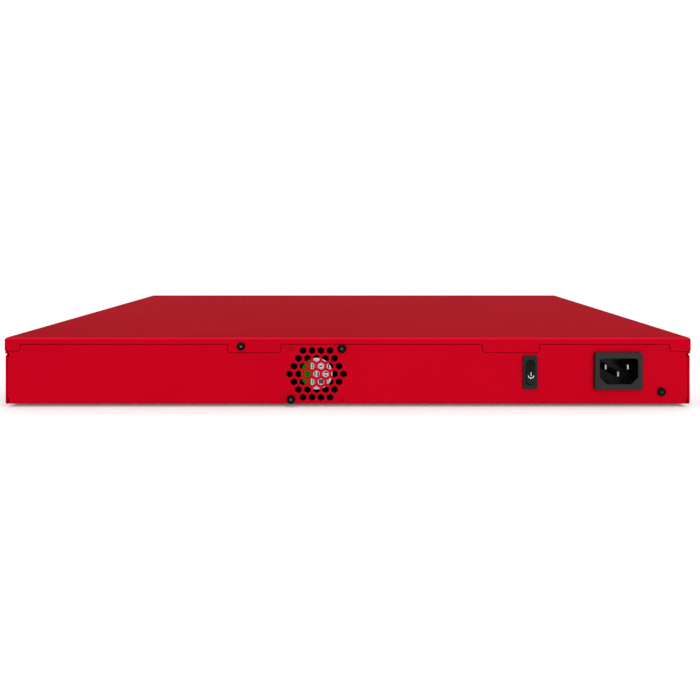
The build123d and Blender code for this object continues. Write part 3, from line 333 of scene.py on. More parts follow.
def powder_coat(name, node, faces, dimples=()):
    """Red powder coat with a fine texture and a painted highlight on its bends outside, and bare galvanised
    inner faces.

    Around dimples, the centres of pressed marks in the rear panel, the coat carries a faint ring of painted
    shade.
    """
    m = Nodes(name)
    cloud = m.noise(14.0, 3.0)
    grain = m.noise(2400.0, 3.0, 0.6)
    speckle = m.noise(900.0, 2.0)
    red = m.mix(m.remap(cloud, 0.3, 0.7), COAT_RED_DARK, COAT_RED)
    red = m.mix(m.remap(speckle, 0.35, 0.8, 0.0, 0.35), red, COAT_RED_DARK)
    up = m.normal()[Z]
    # painted highlight: brighter red on faces between upward and sideways, that is on the rounded bends
    painted_fold_highlight = m.math("MULTIPLY", m.remap(up, 0.25, 0.5), m.remap(up, 0.95, 0.8))
    red = m.mix(painted_fold_highlight, red, COAT_RED_FOLD_HIGHLIGHT)
    if dimples:
        # painted shade: a darker ring round each pressed mark
        ring = m.math("SUBTRACT", spots(m, dimples, 1.75 * MM), spots(m, dimples, 1.15 * MM))
        red = m.mix(m.math("MULTIPLY", ring, 0.3), red, COAT_SHADE)
    bare = inside_mask(m, node, faces)
    spangle = m.cells(340.0, output="Color")
    zinc = m.mix(m.axes(spangle)[X], ZINC_DARK, ZINC_LIGHT)
    m.set(
        base_color=m.mix(bare, red, zinc),
        metallic=bare,
        roughness=m.remap(m.math("ADD", grain, speckle), 0.6, 1.4, 0.42, 0.56),
        specular=0.009,
        tint=COAT_TINT,
    )
    m.bump(grain, 0.22, 0.00005)
    m.bump(speckle, 0.16, 0.00008)
    return m.material


def zinc_steel(name):
    """Galvanised or zinc-plated steel, with spangles and faint streaks."""
    m = Nodes(name)
    spangle = m.axes(m.cells(260.0, output="Color"))[X]
    streak = m.noise(400.0, 3.0, 0.6, (1.0, 8.0, 1.0))
    m.set(
        base_color=m.mix(spangle, ZINC_DARK, ZINC_LIGHT),
        metallic=1.0,
        roughness=m.remap(streak, 0.3, 0.7, 0.28, 0.44),
    )
    m.bump(streak, 0.15, 0.00003)
    return m.material


def black_zinc(name, places):
    """Black-plated screws, with a painted highlight of bright metal here and there in the recesses at these
    places, laid on as wear.
    """
    m = Nodes(name)
    wear = m.noise(1800.0, 4.0, 0.7)
    # painted highlight: bright metal spots in the screw recesses
    painted_light_mask = m.math("MULTIPLY", spots(m, places, 0.7 * MM), m.remap(wear, 0.4, 0.55))
    black = m.mix(m.remap(wear, 0.62, 0.8, 0.0, 0.6), grey(0.002), grey(0.02))
    m.set(
        base_color=m.mix(painted_light_mask, black, (0.3, 0.28, 0.26, 1.0)),
        roughness=m.remap(wear, 0.3, 0.7, 0.2, 0.34),
        specular=0.05,
    )
    m.bump(wear, 0.2, 0.00003)
    return m.material


def grained_plastic(
    name, colour, dark, roughness=(0.5, 0.66), depth=0.00006, grain_scale=1500.0, specular=0.16
):
    m = Nodes(name)
    grain = m.cells(grain_scale)
    cloud = m.noise(60.0, 2.0)
    light = m.math("MULTIPLY", m.remap(grain, 0.1, 0.7), m.remap(cloud, 0.2, 0.8, 0.7, 1.0))
    m.set(
        base_color=m.mix(light, dark, colour),
        roughness=m.remap(grain, 0.1, 0.8, *roughness),
        specular=specular,
    )
    m.bump(grain, 0.5, depth)
    return m.material


def inlet_plastic(name):
    """Grained outside, smooth and darker inside the socket."""
    m = Nodes(name)
    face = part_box("inlet_body")[0].y
    inside = m.math("GREATER_THAN", m.axes()[Y], face + 0.8 * MM)
    grain = m.cells(1900.0)
    fine = m.noise(4200.0, 2.0)
    outside_colour = m.mix(m.remap(m.math("ADD", grain, fine), 0.6, 1.3), grey(0.008), grey(0.02))
    outside_roughness = m.remap(grain, 0.1, 0.8, 0.5, 0.62)
    m.set(
        base_color=m.mix(inside, outside_colour, grey(0.0015)),
        roughness=m.math("SUBTRACT", outside_roughness, m.math("MULTIPLY", inside, 0.34)),
        specular=0.13,
    )
    m.bump(m.math("MULTIPLY", grain, m.math("SUBTRACT", 1.0, inside)), 0.6, 0.00009)
    return m.material


def rocker_plastic(name):
    """Black plastic, painted lighter on the lower half that stands out and darker on the upper half: painted
    light and shade.
    """
    m = Nodes(name)
    low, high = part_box("switch_rocker")
    level = (low.z + high.z) / 2
    # painted light and shade: the lower half lighter, the upper half darker
    painted_light_mask = m.remap(m.axes()[Z], level + 1.5 * MM, level - 2.5 * MM)
    grain = m.cells(1900.0)
    painted_lit_grey = m.mix(m.remap(grain, 0.1, 0.7), grey(0.011), grey(0.015))
    m.set(
        base_color=m.mix(painted_light_mask, grey(0.004), painted_lit_grey),
        roughness=m.remap(grain, 0.1, 0.8, 0.42, 0.52),
        specular=0.03,
    )
    m.bump(grain, 0.5, 0.00002)
    return m.material


def rubber(name):
    m = Nodes(name)
    dust = m.noise(500.0, 4.0, 0.6)
    m.set(
        base_color=m.mix(m.remap(dust, 0.4, 0.7), grey(0.012), grey(0.03)),
        roughness=m.remap(dust, 0.3, 0.7, 0.75, 0.9),
        specular=0.3,
    )
    m.bump(dust, 0.4, 0.00008)
    return m.material


def plated_metal(name, colour, dark, roughness=(0.18, 0.32)):
    """Turned or pressed plated metal with fine drawing marks."""
    m = Nodes(name)
    marks = m.noise(900.0, 3.0, 0.6, (6.0, 1.0, 1.0))
    m.set(
        base_color=m.mix(m.remap(marks, 0.3, 0.7), dark, colour),
        metallic=1.0,
        roughness=m.remap(marks, 0.3, 0.7, *roughness),
    )
    m.bump(marks, 0.12, 0.00002)
    return m.material


def blade_metal(name):
    """Contact blades: a painted highlight on the middle of each end, and painted shade that darkens the rest.
    """
    m = Nodes(name)
    marks = m.noise(1100.0, 3.0, 0.6, (1.0, 0.2, 1.0))
    facing = m.math("LESS_THAN", m.normal()[Y], -0.9)
    point = m.axes()
    flats = []
    for pin in centres("inlet_pins"):
        across = m.between(point[X], pin.x - 0.42 * MM, pin.x + 0.42 * MM)
        along = m.between(point[Z], pin.z - 1.45 * MM, pin.z + 1.45 * MM)
        flats.append(m.math("MULTIPLY", across, along))
    # painted highlight on the middle of each blade's end
    painted_end_highlight = m.math("MULTIPLY", facing, m.any_of(flats))
    # painted shade: the rest of the blade metal drawn nearly black
    painted_shade_metal = m.mix(m.remap(marks, 0.3, 0.7), (0.02, 0.02, 0.018, 1.0), (0.04, 0.04, 0.036, 1.0))
    m.set(
        base_color=m.mix(painted_end_highlight, painted_shade_metal, (0.42, 0.4, 0.36, 1.0)),
        metallic=1.0,
        roughness=m.remap(marks, 0.3, 0.7, 0.24, 0.36),
    )
    m.bump(marks, 0.15, 0.00003)
    return m.material


MASK_GREEN = (0.006, 0.052, 0.02, 1.0)
MASK_DEEP_GREEN = (0.004, 0.03, 0.016, 1.0)
NO_CHIPS = 1.0  # a level far above any board


def circuit_board(name, mask=MASK_GREEN, chips_above=NO_CHIPS):
    """Green solder mask over copper tracks. What stands above a level, in metres, is chips."""
    m = Nodes(name)
    x, y, z = m.axes()
    lane = m.axes(m.cells(190.0, output="Color"))
    turned_lane = m.math("GREATER_THAN", lane[X], 0.5)
    along_x = m.math("MULTIPLY", x, turned_lane)
    along_y = m.math("MULTIPLY", y, m.math("SUBTRACT", 1.0, turned_lane))
    along = m.math("ADD", along_x, along_y)
    track = m.math("GREATER_THAN", m.math("FRACT", m.math("MULTIPLY", along, 900.0)), 0.55)
    routed = m.math("GREATER_THAN", lane[Y], 0.45)
    copper = m.math("MULTIPLY", track, routed)
    vias = m.math("LESS_THAN", m.cells(620.0), 0.16)
    bright = (0.012, 0.092, 0.032, 1.0)
    chip = m.math("GREATER_THAN", z, chips_above)
    laminate = m.mix(vias, m.mix(copper, mask, bright), (0.35, 0.26, 0.08, 1.0))
    resin = m.mix(m.noise(2500.0), grey(0.010), grey(0.022))
    laminate_roughness = m.remap(copper, 0.0, 1.0, 0.3, 0.24)
    m.set(
        base_color=m.mix(chip, laminate, resin),
        roughness=m.math("ADD", laminate_roughness, m.math("MULTIPLY", chip, 0.18)),
        specular=0.4,
    )
    m.bump(m.math("ADD", copper, vias), 0.5, 0.00004)
    return m.material


def chip_resin(name):
    m = Nodes(name)
    grain = m.noise(3000.0, 2.0)
    m.set(
        base_color=m.mix(m.remap(grain, 0.3, 0.7), grey(0.010), grey(0.022)),
        roughness=m.remap(grain, 0.3, 0.7, 0.42, 0.55),
    )
    m.bump(grain, 0.3, 0.00003)
    return m.material


def brushed_aluminium(name):
    m = Nodes(name)
    lines = m.noise(700.0, 3.0, 0.7, (1.0, 0.06, 1.0))
    m.set(
        base_color=m.mix(m.remap(lines, 0.3, 0.7), (0.5, 0.51, 0.53, 1.0), (0.68, 0.69, 0.71, 1.0)),
        metallic=1.0,
        roughness=m.remap(lines, 0.3, 0.7, 0.3, 0.46),
    )
    m.bump(lines, 0.2, 0.00003)
    return m.material


def capacitor_sleeve(name):
    """Dark shrink sleeve with a pale polarity stripe, and a bare aluminium top."""
    m = Nodes(name)
    normal = m.normal()
    top = m.math("GREATER_THAN", normal[Z], 0.9)
    stripe = m.math("GREATER_THAN", normal[X], 0.9)
    film = m.noise(200.0, 3.0)
    sleeve = m.mix(m.remap(film, 0.3, 0.7), (0.006, 0.009, 0.03, 1.0), (0.01, 0.014, 0.045, 1.0))
    sleeve = m.mix(stripe, sleeve, (0.45, 0.46, 0.46, 1.0))
    m.set(
        base_color=m.mix(top, sleeve, (0.42, 0.43, 0.44, 1.0)),
        metallic=top,
        roughness=m.remap(film, 0.3, 0.7, 0.24, 0.34),
    )
    m.bump(film, 0.2, 0.00005)
    return m.material


def wound(name, colour, dark, pitch, direction):
    """Layers of wire a pitch apart, in metres, that follow each other along a direction."""
    m = Nodes(name)
    wave = m.tree.nodes.new("ShaderNodeTexWave")
    wave.bands_direction = direction
    m.put(wave.inputs["Vector"], m.coords)
    wave.inputs["Scale"].default_value = math.pi / (10.0 * pitch)  # one wave per pitch
    wave.inputs["Distortion"].default_value = 0.4
    band = wave.outputs["Fac"]
    m.set(
        base_color=m.mix(band, dark, colour),
        roughness=m.remap(m.noise(300.0), 0.3, 0.7, 0.28, 0.42),
        specular=0.5,
    )
    m.bump(band, 0.6, 0.0002)
    return m.material


def transformer_finish(name):
    """Yellow tape on the winding, dark ferrite round it and a dark foot under it."""
    m = Nodes(name)
    low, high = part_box("power_transformer")
    _, y, z = m.axes()
    out = m.math("ABSOLUTE", m.math("SUBTRACT", y, (low.y + high.y) / 2))
    leg = m.math("GREATER_THAN", out, 11.45 * MM)
    roof = m.math("GREATER_THAN", z, low.z + 18.95 * MM)
    foot = m.math("LESS_THAN", z, low.z + 5.03 * MM)
    core = m.any_of([leg, roof, foot])
    film = m.noise(260.0, 3.0, 0.6, (0.2, 1.0, 1.0))
    tape = m.mix(m.remap(film, 0.3, 0.7), (0.5, 0.32, 0.015, 1.0), (0.64, 0.44, 0.02, 1.0))
    grain = m.noise(1500.0, 3.0)
    ferrite = m.mix(m.remap(grain, 0.3, 0.7), grey(0.018), grey(0.035))
    tape_roughness = m.remap(film, 0.3, 0.7, 0.24, 0.34)
    m.set(
        base_color=m.mix(core, tape, ferrite),
        roughness=m.math("ADD", tape_roughness, m.math("MULTIPLY", core, 0.25)),
        specular=0.4,
    )
    m.bump(m.math("ADD", film, grain), 0.2, 0.00005)
    return m.material


def insulation(name, colour, dark, stripe=None):
    """Soft wire insulation, with an optional second colour running round it."""
    m = Nodes(name)
    film = m.noise(500.0, 3.0, 0.6)
    base = m.mix(m.remap(film, 0.3, 0.7), dark, colour)
    if stripe:
        x, y, z = m.axes()
        turn = m.math("ADD", m.math("ADD", x, y), z)
        lane = m.math("GREATER_THAN", m.math("FRACT", m.math("MULTIPLY", turn, 240.0)), 0.6)
        base = m.mix(lane, base, stripe)
    m.set(base_color=base, roughness=m.remap(film, 0.3, 0.7, 0.38, 0.5), specular=0.45)
    m.bump(film, 0.2, 0.00004)
    return m.material


def clear_plastic(name):
    m = Nodes(name)
    haze = m.noise(300.0, 2.0)
    m.set(
        base_color=m.mix(m.remap(haze, 0.3, 0.7), (0.78, 0.82, 0.8, 1.0), (0.86, 0.9, 0.88, 1.0)),
        roughness=m.remap(haze, 0.3, 0.7, 0.12, 0.22),
        transmission=0.75,
        ior=1.49,
    )
    return m.material


FAN_LABEL_BARS = (  # left, right, bottom and top of each printed bar, in millimetres from the centre
    (-2.7, -2.1, 3.2, 6.4),
    (-1.5, -1.0, 3.2, 6.4),
    (1.8, 3.6, 4.2, 5.1),
    (7.1, 7.9, 3.4, 5.8),
    (-1.4, -0.7, -1.3, 1.3),
    (0.4, 1.5, -1.6, 0.8),
    (4.6, 7.0, 0.3, 1.3),
    (5.2, 6.4, -1.5, -0.6),
    (-2.7, -2.1, -6.4, -3.2),
    (-1.5, -1.0, -6.4, -3.2),
    (1.4, 4.4, -6.3, -3.5),
    (7.0, 7.5, -5.8, -3.2),
)


def fan_label_print(name):
    """Round label: a green segment, white beside it, and plain printed bars without lettering."""
    m = Nodes(name)
    low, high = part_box("fan_label")
    centre = (low + high) / 2
    x, _, z = m.axes()
    dx = m.math("SUBTRACT", x, centre.x)
    dz = m.math("SUBTRACT", z, centre.z)
    green = m.math("LESS_THAN", dx, -3.6 * MM)
    bars = []
    for left, right, bottom, top in FAN_LABEL_BARS:
        across = m.between(dx, left * MM, right * MM)
        upright = m.between(dz, bottom * MM, top * MM)
        bars.append(m.math("MULTIPLY", across, upright))
    paper = m.noise(800.0, 3.0)
    white = m.mix(m.remap(paper, 0.3, 0.7), (0.4, 0.355, 0.4, 1.0), (0.52, 0.47, 0.52, 1.0))
    printed = m.mix(m.math("MULTIPLY", m.any_of(bars), 0.95), white, (0.035, 0.03, 0.03, 1.0))
    m.set(
        base_color=m.mix(green, printed, (0.0, 0.13, 0.002, 1.0)),
        roughness=m.remap(paper, 0.3, 0.7, 0.3, 0.4),
        specular=0.02,
    )
    m.bump(paper, 0.1, 0.00003)
    return m.material


# ---------------------------------------------------------------- which node is made of what


def assign(material, *names):
    for name in names:
        slots = nodes[name].data.materials
        slots.clear()
        slots.append(material)


tray_faces = ((X, 1), (X, -1), (Y, -1), (Z, -1))
cover_faces = ((X, 1), (X, -1), (Y, -1), (Z, 1))
panel_faces = ((Y, 1), (Z, 1))
screw_places = centres("fan_screws")
fan_centre = sum(screw_places, Vector()) / 2
dimple_places = [Vector((2 * fan_centre.x - place.x, place.y, place.z)) for place in screw_places]
assign(powder_coat("coat_tray", "base_tray", tray_faces, dimple_places), "base_tray")
assign(powder_coat("coat_cover", "top_cover", cover_faces), "top_cover")
assign(powder_coat("coat_front", "front_panel", panel_faces), "front_panel")
assign(powder_coat("coat_rail", "rear_top_rail", ((Z, 1),)), "rear_top_rail")
assign(
    zinc_steel("zinc_small"), "rack_ear_inserts", "board_standoffs", "ground_lug", "board_screws",
    "heatsink_screws", "fan_shaft", "fan_bearings",
)
nickel = plated_metal("nickel_shield", (0.6, 0.6, 0.58, 1.0), (0.5, 0.5, 0.49, 1.0))
assign(nickel, "jack_shields", "usb_jack")
for screw in ("cover_screw", "fan_screws", "ground_screw"):
    assign(black_zinc(f"black_zinc_{screw}", centres(screw)), screw)
assign(inlet_plastic("inlet_plastic"), "inlet_body")
assign(
    grained_plastic("switch_plastic", grey(0.015), grey(0.007), grain_scale=1900.0, specular=0.1),
    "switch_housing",
)
assign(grained_plastic("bezel_plastic", grey(0.03), grey(0.015), grain_scale=1300.0), "front_bezel")
assign(rocker_plastic("rocker_plastic"), "switch_rocker")
assign(rubber("foot_rubber"), "rubber_feet")
assign(
    grained_plastic("fan_plastic", grey(0.0006), grey(0.0003), (0.36, 0.5), 0.00003, specular=0.03),
    "fan_frame", "fan_rotor",
)
assign(
    grained_plastic("black_plastic", grey(0.014), grey(0.008), (0.4, 0.55), 0.00003),
    "lan_jack_left", "lan_jack_right", "console_jack", "card_sockets", "battery_holder",
    "pipe_carrier", "reset_switch", "reset_button",
)
assign(fan_label_print("fan_label_print"), "fan_label")
assign(blade_metal("nickel_blade"), "inlet_pins", "switch_terminals")
assign(circuit_board("green_board"), "mainboard", "power_board")
CARDS = (("memory_modules", 1.1), ("drive_module", 0.8))  # each card's node and its board's thickness
for card, thickness in CARDS:
    card_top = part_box(card)[0].z + (thickness + 0.05) * MM
    assign(circuit_board(f"{card}_board", MASK_DEEP_GREEN, card_top), card)
assign(chip_resin("chip_resin"), "lan_chips", "lan_transformers", "board_chokes")
assign(plated_metal("lid_nickel", (0.6, 0.6, 0.6, 1.0), (0.52, 0.52, 0.52, 1.0), (0.24, 0.36)), "processor")
assign(brushed_aluminium("aluminium"), "processor_heatsink", "power_heatsinks")
assign(capacitor_sleeve("capacitor_sleeve"), "capacitors", "bulk_capacitor")
assign(wound("copper_winding", (0.6, 0.24, 0.08, 1.0), (0.3, 0.1, 0.03, 1.0), 0.0006, "Y"), "fan_stator")
assign(
    grained_plastic("ring_core", (0.34, 0.33, 0.05, 1.0), (0.26, 0.25, 0.04, 1.0), (0.4, 0.5), 0.00003),
    "power_chokes",
)
assign(transformer_finish("transformer_finish"), "power_transformer")
assign(plated_metal("cell_steel", (0.62, 0.62, 0.61, 1.0), (0.54, 0.54, 0.53, 1.0), (0.2, 0.3)), "coin_cell")
assign(insulation("black_film", grey(0.02), grey(0.012)), "insulator_sheet")
assign(clear_plastic("clear_plastic"), "light_pipes")
assign(
    grained_plastic("white_plastic", (0.62, 0.6, 0.54, 1.0), (0.52, 0.5, 0.44, 1.0), (0.4, 0.5), 0.00002),
    "usb_tongues", "wire_headers",
)
assign(insulation("sleeve", (0.5, 0.5, 0.46, 1.0), (0.42, 0.42, 0.38, 1.0)), "spade_connectors")
assign(insulation("brown_wire", (0.1, 0.03, 0.012, 1.0), (0.07, 0.02, 0.008, 1.0)), "line_wires")
assign(insulation("blue_wire", (0.01, 0.06, 0.32, 1.0), (0.008, 0.04, 0.24, 1.0)), "neutral_wire")
assign(
    insulation("earth_wire", (0.03, 0.22, 0.03, 1.0), (0.02, 0.16, 0.02, 1.0), (0.62, 0.55, 0.02, 1.0)),
    "earth_wire",
)
assign(insulation("red_wire", (0.4, 0.01, 0.01, 1.0), (0.3, 0.008, 0.008, 1.0)), "supply_leads")
assign(insulation("black_wire", grey(0.02), grey(0.01)), "fan_leads")


# ---------------------------------------------------------------- building pieces


RING_SIDES, WIRE_SIDES = 32, 6
SHARP_ANGLE, BEVEL_ANGLE = math.radians(35), math.radians(40)


class Piece:
    """Gathers closed shapes, given in millimetres, into one mesh."""

    def __init__(self):
        self.points = []
        self.faces = []

    def loft(self, rings, closed=False):
        """Solid through rings of equally many points; closed joins the last ring to the first."""
        start, count = len(self.points), len(rings[0])
        for ring in rings:
            self.points += [Vector(point) for point in ring]
        pairs = list(zip(range(len(rings)), range(1, len(rings))))
        if closed:
            pairs.append((len(rings) - 1, 0))
        for a, b in pairs:
            for i in range(count):
                j = (i + 1) % count
                corners = (a * count + i, a * count + j, b * count + j, b * count + i)
                self.faces.append([start + corner for corner in corners])
        if not closed:
            self.faces.append([start + i for i in reversed(range(count))])
            self.faces.append([start + (len(rings) - 1) * count + i for i in range(count)])

    def prism(self, outline, axis, start, end):
        """An outline in the other two axes, in their order, drawn out along an axis."""
        self.loft([[on_axis(point, axis, level) for point in outline] for level in (start, end)])

    def block(self, low, high):
        corners = ((low[0], low[1]), (high[0], low[1]), (high[0], high[1]), (low[0], high[1]))
        self.prism(corners, Z, low[2], high[2])

    def standing(self, x, y, z, size):
        """Block of a size that stands on the level z, centred on x and y."""
        half_x, half_y = size[0] / 2, size[1] / 2
        self.block((x - half_x, y - half_y, z), (x + half_x, y + half_y, z + size[2]))

    def ring(self, centre, outer, inner, axis, start, end):
        """Flat ring round a centre, from one level of an axis to another."""
        rings = []
        for i in range(RING_SIDES):
            angle = 2 * math.pi * i / RING_SIDES
            wide, tight = turned(centre, outer, angle), turned(centre, inner, angle)
            corners = ((wide, start), (wide, end), (tight, end), (tight, start))
            rings.append([on_axis(point, axis, level) for point, level in corners])
        self.loft(rings, closed=True)

    def tube(self, path, radius):
        """Round wire along a path."""
        path = [Vector(point) for point in path]
        across = (path[1] - path[0]).orthogonal().normalized()
        rings = []
        for i, point in enumerate(path):
            ahead = (path[min(i + 1, len(path) - 1)] - path[max(i - 1, 0)]).normalized()
            across = (across - ahead * across.dot(ahead)).normalized()
            up = ahead.cross(across)
            turns = [2 * math.pi * i / WIRE_SIDES for i in range(WIRE_SIDES)]
            rings.append([point + (across * math.cos(t) + up * math.sin(t)) * radius for t in turns])
        self.loft(rings)

    def finish(self, name, material, slot, body="root", bevel=0.0):
        """Makes the object, which rides on a body; bevel is its edges' width in millimetres."""
        mesh = bpy.data.meshes.new(name)
        mesh.from_pydata([point * MM for point in self.points], [], self.faces)
        shape = bmesh.new()
        shape.from_mesh(mesh)
        bmesh.ops.recalc_face_normals(shape, faces=shape.faces)
        shape.to_mesh(mesh)
        shape.free()
        mesh.polygons.foreach_set("use_smooth", [True] * len(mesh.polygons))
        mesh.set_sharp_from_angle(angle=SHARP_ANGLE)
        mesh.materials.append(material)
        piece = bpy.data.objects.new(name, mesh)
        bpy.context.collection.objects.link(piece)
        if bevel:
            round_edges(piece, bevel)
        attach(piece, body)


def turned(centre, radius, angle):
    """The point at a radius and an angle round a centre."""
    return centre[0] + radius * math.cos(angle), centre[1] + radius * math.sin(angle)


def on_axis(point, axis, level):
    """Three coordinates from two and a level along an axis."""
    full = list(point)
    full.insert(axis, level)
    return full


def round_edges(piece, width):
    """Small rounded edges, width in millimetres."""
    bevel = piece.modifiers.new("edges", "BEVEL")
    bevel.width = width * MM
    bevel.segments = 2
    bevel.limit_method = "ANGLE"
    bevel.angle_limit = BEVEL_ANGLE


# ---------------------------------------------------------------- materials of the new pieces

PRINT_WHITE = grained_plastic(
    "print_white", (0.85, 0.85, 0.85, 1.0), (0.7, 0.7, 0.7, 1.0), (0.4, 0.5), 0.00001
)
PRINT_GREY = grained_plastic(
    "print_grey", (0.55, 0.55, 0.55, 1.0), (0.45, 0.45, 0.45, 1.0), (0.4, 0.5), 0.00001
)
GOLD = plated_metal("gold_contact", (0.86, 0.6, 0.2, 1.0), (0.72, 0.48, 0.14, 1.0), (0.16, 0.26))
TIN = plated_metal("tin", (0.66, 0.66, 0.65, 1.0), (0.56, 0.56, 0.55, 1.0), (0.22, 0.34))
SPRING_STEEL = plated_metal("spring_steel", (0.5, 0.5, 0.5, 1.0), (0.4, 0.4, 0.4, 1.0), (0.2, 0.3))
SMALL_RESIN = chip_resin("small_resin")
CERAMIC = grained_plastic("ceramic", (0.42, 0.27, 0.15, 1.0), (0.34, 0.21, 0.11, 1.0), (0.4, 0.5), 0.00001)
ENAMEL = wound("enamel_wire", (0.62, 0.2, 0.05, 1.0), (0.46, 0.13, 0.03, 1.0), 0.004, "Z")
PLUG_WHITE = grained_plastic(
    "plug_white", (0.66, 0.64, 0.58, 1.0), (0.56, 0.54, 0.48, 1.0), (0.4, 0.5), 0.00002
)
TIE_BLACK = grained_plastic("tie_black", grey(0.02), grey(0.012), (0.4, 0.5), 0.00002)
LENS_GREEN = grained_plastic(
    "lens_green", (0.04, 0.3, 0.03, 1.0), (0.03, 0.22, 0.02, 1.0), (0.15, 0.22), 0.00001
)
LENS_AMBER = grained_plastic(
    "lens_amber", (0.7, 0.32, 0.02, 1.0), (0.55, 0.24, 0.015, 1.0), (0.15, 0.22), 0.00001
)


# ---------------------------------------------------------------- rear: the switch's symbol


def power_symbol():
    """Printed bar over an open arc on the half of the rocker that faces out."""
    low, high = box_mm("switch_rocker")
    centre = (middle(low, high)[X] + 0.1, low.z + 6.15)
    outer, inner, half_bar = 1.9, 1.54, 0.15
    near, far = low.y - 0.05, low.y + 0.05
    symbol = Piece()
    start, end, steps = math.radians(184), math.radians(356), 20
    rings = []
    for i in range(steps + 1):
        angle = start + (end - start) * i / steps
        wide, tight = turned(centre, outer, angle), turned(centre, inner, angle)
        corners = ((wide, near), (wide, far), (tight, far), (tight, near))
        rings.append([on_axis(point, Y, level) for point, level in corners])
    symbol.loft(rings)
    symbol.block(
        (centre[0] - half_bar, near, centre[1] - 0.45), (centre[0] + half_bar, far, centre[1] + outer)
    )
    symbol.finish("power_symbol", PRINT_WHITE, "label_film", "power_rocker")


# ---------------------------------------------------------------- front: sockets and print

openings = {opening["name"]: opening["box_m"] for opening in frame["record"]["physics"]["openings"]}
PORT_CENTRES = [
    (box[0][0] + box[1][0]) / 2 / MM
    for name, box in openings.items() if name.startswith(("lan_port", "console_port"))
]
NETWORK_CENTRES = PORT_CENTRES[:-1]  # the console port comes last
PORT_Z = next(m["pos_m"][2] for m in frame["record"]["mounts"] if m["name"] == "console_socket") / MM
PORT_HALF = (11.9 / 2, 7.0 / 2)
JACK_FACE = box_mm("console_jack")[1].y
BOARD_TOP = box_mm("mainboard")[1].z


def port_contacts():
    """Eight sprung wires under the roof of each RJ45 socket."""
    contacts = Piece()
    roof = PORT_Z + PORT_HALF[1]
    side = [
        (JACK_FACE - 12.4, roof - 0.5), (JACK_FACE - 3.4, roof - 0.5), (JACK_FACE - 2.9, roof - 0.85),
        (JACK_FACE - 3.4, roof - 1.2), (JACK_FACE - 10.0, roof - 3.3), (JACK_FACE - 10.1, roof - 3.0),
        (JACK_FACE - 4.0, roof - 0.95), (JACK_FACE - 12.4, roof - 0.8),
    ]
    for centre in PORT_CENTRES:
        for i in range(8):
            x = centre + (i - 3.5) * 1.02
            contacts.prism(side, X, x - 0.17, x + 0.17)
    contacts.finish("port_contacts", GOLD, "contact_metal")


def port_lamps():
    """Small lamp windows above each network socket."""
    for name, side, material in (("port_lamps_link", -1, LENS_GREEN), ("port_lamps_busy", 1, LENS_AMBER)):
        lamps = Piece()
        for centre in NETWORK_CENTRES:
            x = centre + side * 4.3
            lamps.block((x - 1.2, JACK_FACE - 0.6, PORT_Z + 4.2), (x + 1.2, JACK_FACE + 0.08, PORT_Z + 5.5))
        lamps.finish(name, material, "clear_plastic", bevel=0.1)


def port_numbers():
    """Port numbers printed on the bezel above the network sockets, from the left as one faces it."""
    face = box_mm("front_bezel")[1].y
    height = box_mm("lan_jack_left")[1].z + 3.6
    facing = Matrix(((-1, 0, 0, 0), (0, 0, 1, 0), (0, 1, 0, 0), (0, 0, 0, 1)))
    meshes = []
    for i, centre in enumerate(NETWORK_CENTRES):
        data = bpy.data.curves.new("digit", "FONT")
        data.body = str(len(NETWORK_CENTRES) - 1 - i)
        data.size = 3.4 * MM
        data.align_x = "CENTER"
        data.align_y = "CENTER"
        data.extrude = 0.02 * MM
        digit = bpy.data.objects.new("digit", data)
        place = Vector((centre, face, height)) * MM
        mesh = bpy.data.meshes.new_from_object(digit)
        mesh.transform(Matrix.Translation(place) @ facing)
        meshes.append(mesh)
        bpy.data.objects.remove(digit)
    joined = bmesh.new()
    for mesh in meshes:
        joined.from_mesh(mesh)
        bpy.data.meshes.remove(mesh)
    mesh = bpy.data.meshes.new("port_numbers")
    joined.to_mesh(mesh)
    joined.free()
    mesh.materials.append(PRINT_GREY)
    numbers = bpy.data.objects.new("port_numbers", mesh)
    bpy.context.collection.objects.link(numbers)
    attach(numbers, "root")


def port_brackets():
    """Printed line that groups each row of network sockets, above the numbers."""
    lines = Piece()
    face = box_mm("front_bezel")[1].y
    for name in ("lan_jack_left", "lan_jack_right"):
        low, high = box_mm(name)
        z = high.z + 6.6
        lines.block((low.x + 2, face - 0.05, z), (high.x - 2, face + 0.02, z + 0.35))
        for x in (low.x + 2, high.x - 2.35):
            lines.block((x, face - 0.05, z - 1.0), (x + 0.35, face + 0.02, z))
    lines.finish("port_brackets", PRINT_GREY, "label_film")


def usb_contacts():
    """Four contact strips under each USB tongue."""
    strips = Piece()
    for low, high in solids("usb_tongues"):
        x, _ = middle(low, high)
        under = (low.z + high.z) / 2 + 0.3
        for offset in (-3.5, -1.0, 1.0, 3.5):
            strips.block(
                (x + offset - 0.5, high.y - 9.0, under - 0.08), (x + offset + 0.5, high.y - 0.6, under + 0.05)
            )
    strips.finish("usb_contacts", GOLD, "contact_metal")


def shield_fingers():
    """Pressed springs on top of each socket shield that touch the panel."""
    fingers = Piece()
    for low, high in solids("jack_shields"):
        count = max(1, round((high.x - low.x) / 14.5))
        for i in range(count):
            x = low.x + (high.x - low.x) * (i + 0.5) / count
            side = [
                (high.y - 7.0, high.z - 0.05),
                (high.y - 3.4, high.z + 0.45),
                (high.y - 2.4, high.z + 0.02),
                (high.y - 2.4, high.z - 0.05),
            ]
            fingers.prism(side, X, x - 1.5, x + 1.5)
    fingers.finish("shield_fingers", SPRING_STEEL, "zinc_steel")


# ---------------------------------------------------------------- inside: chips and small parts


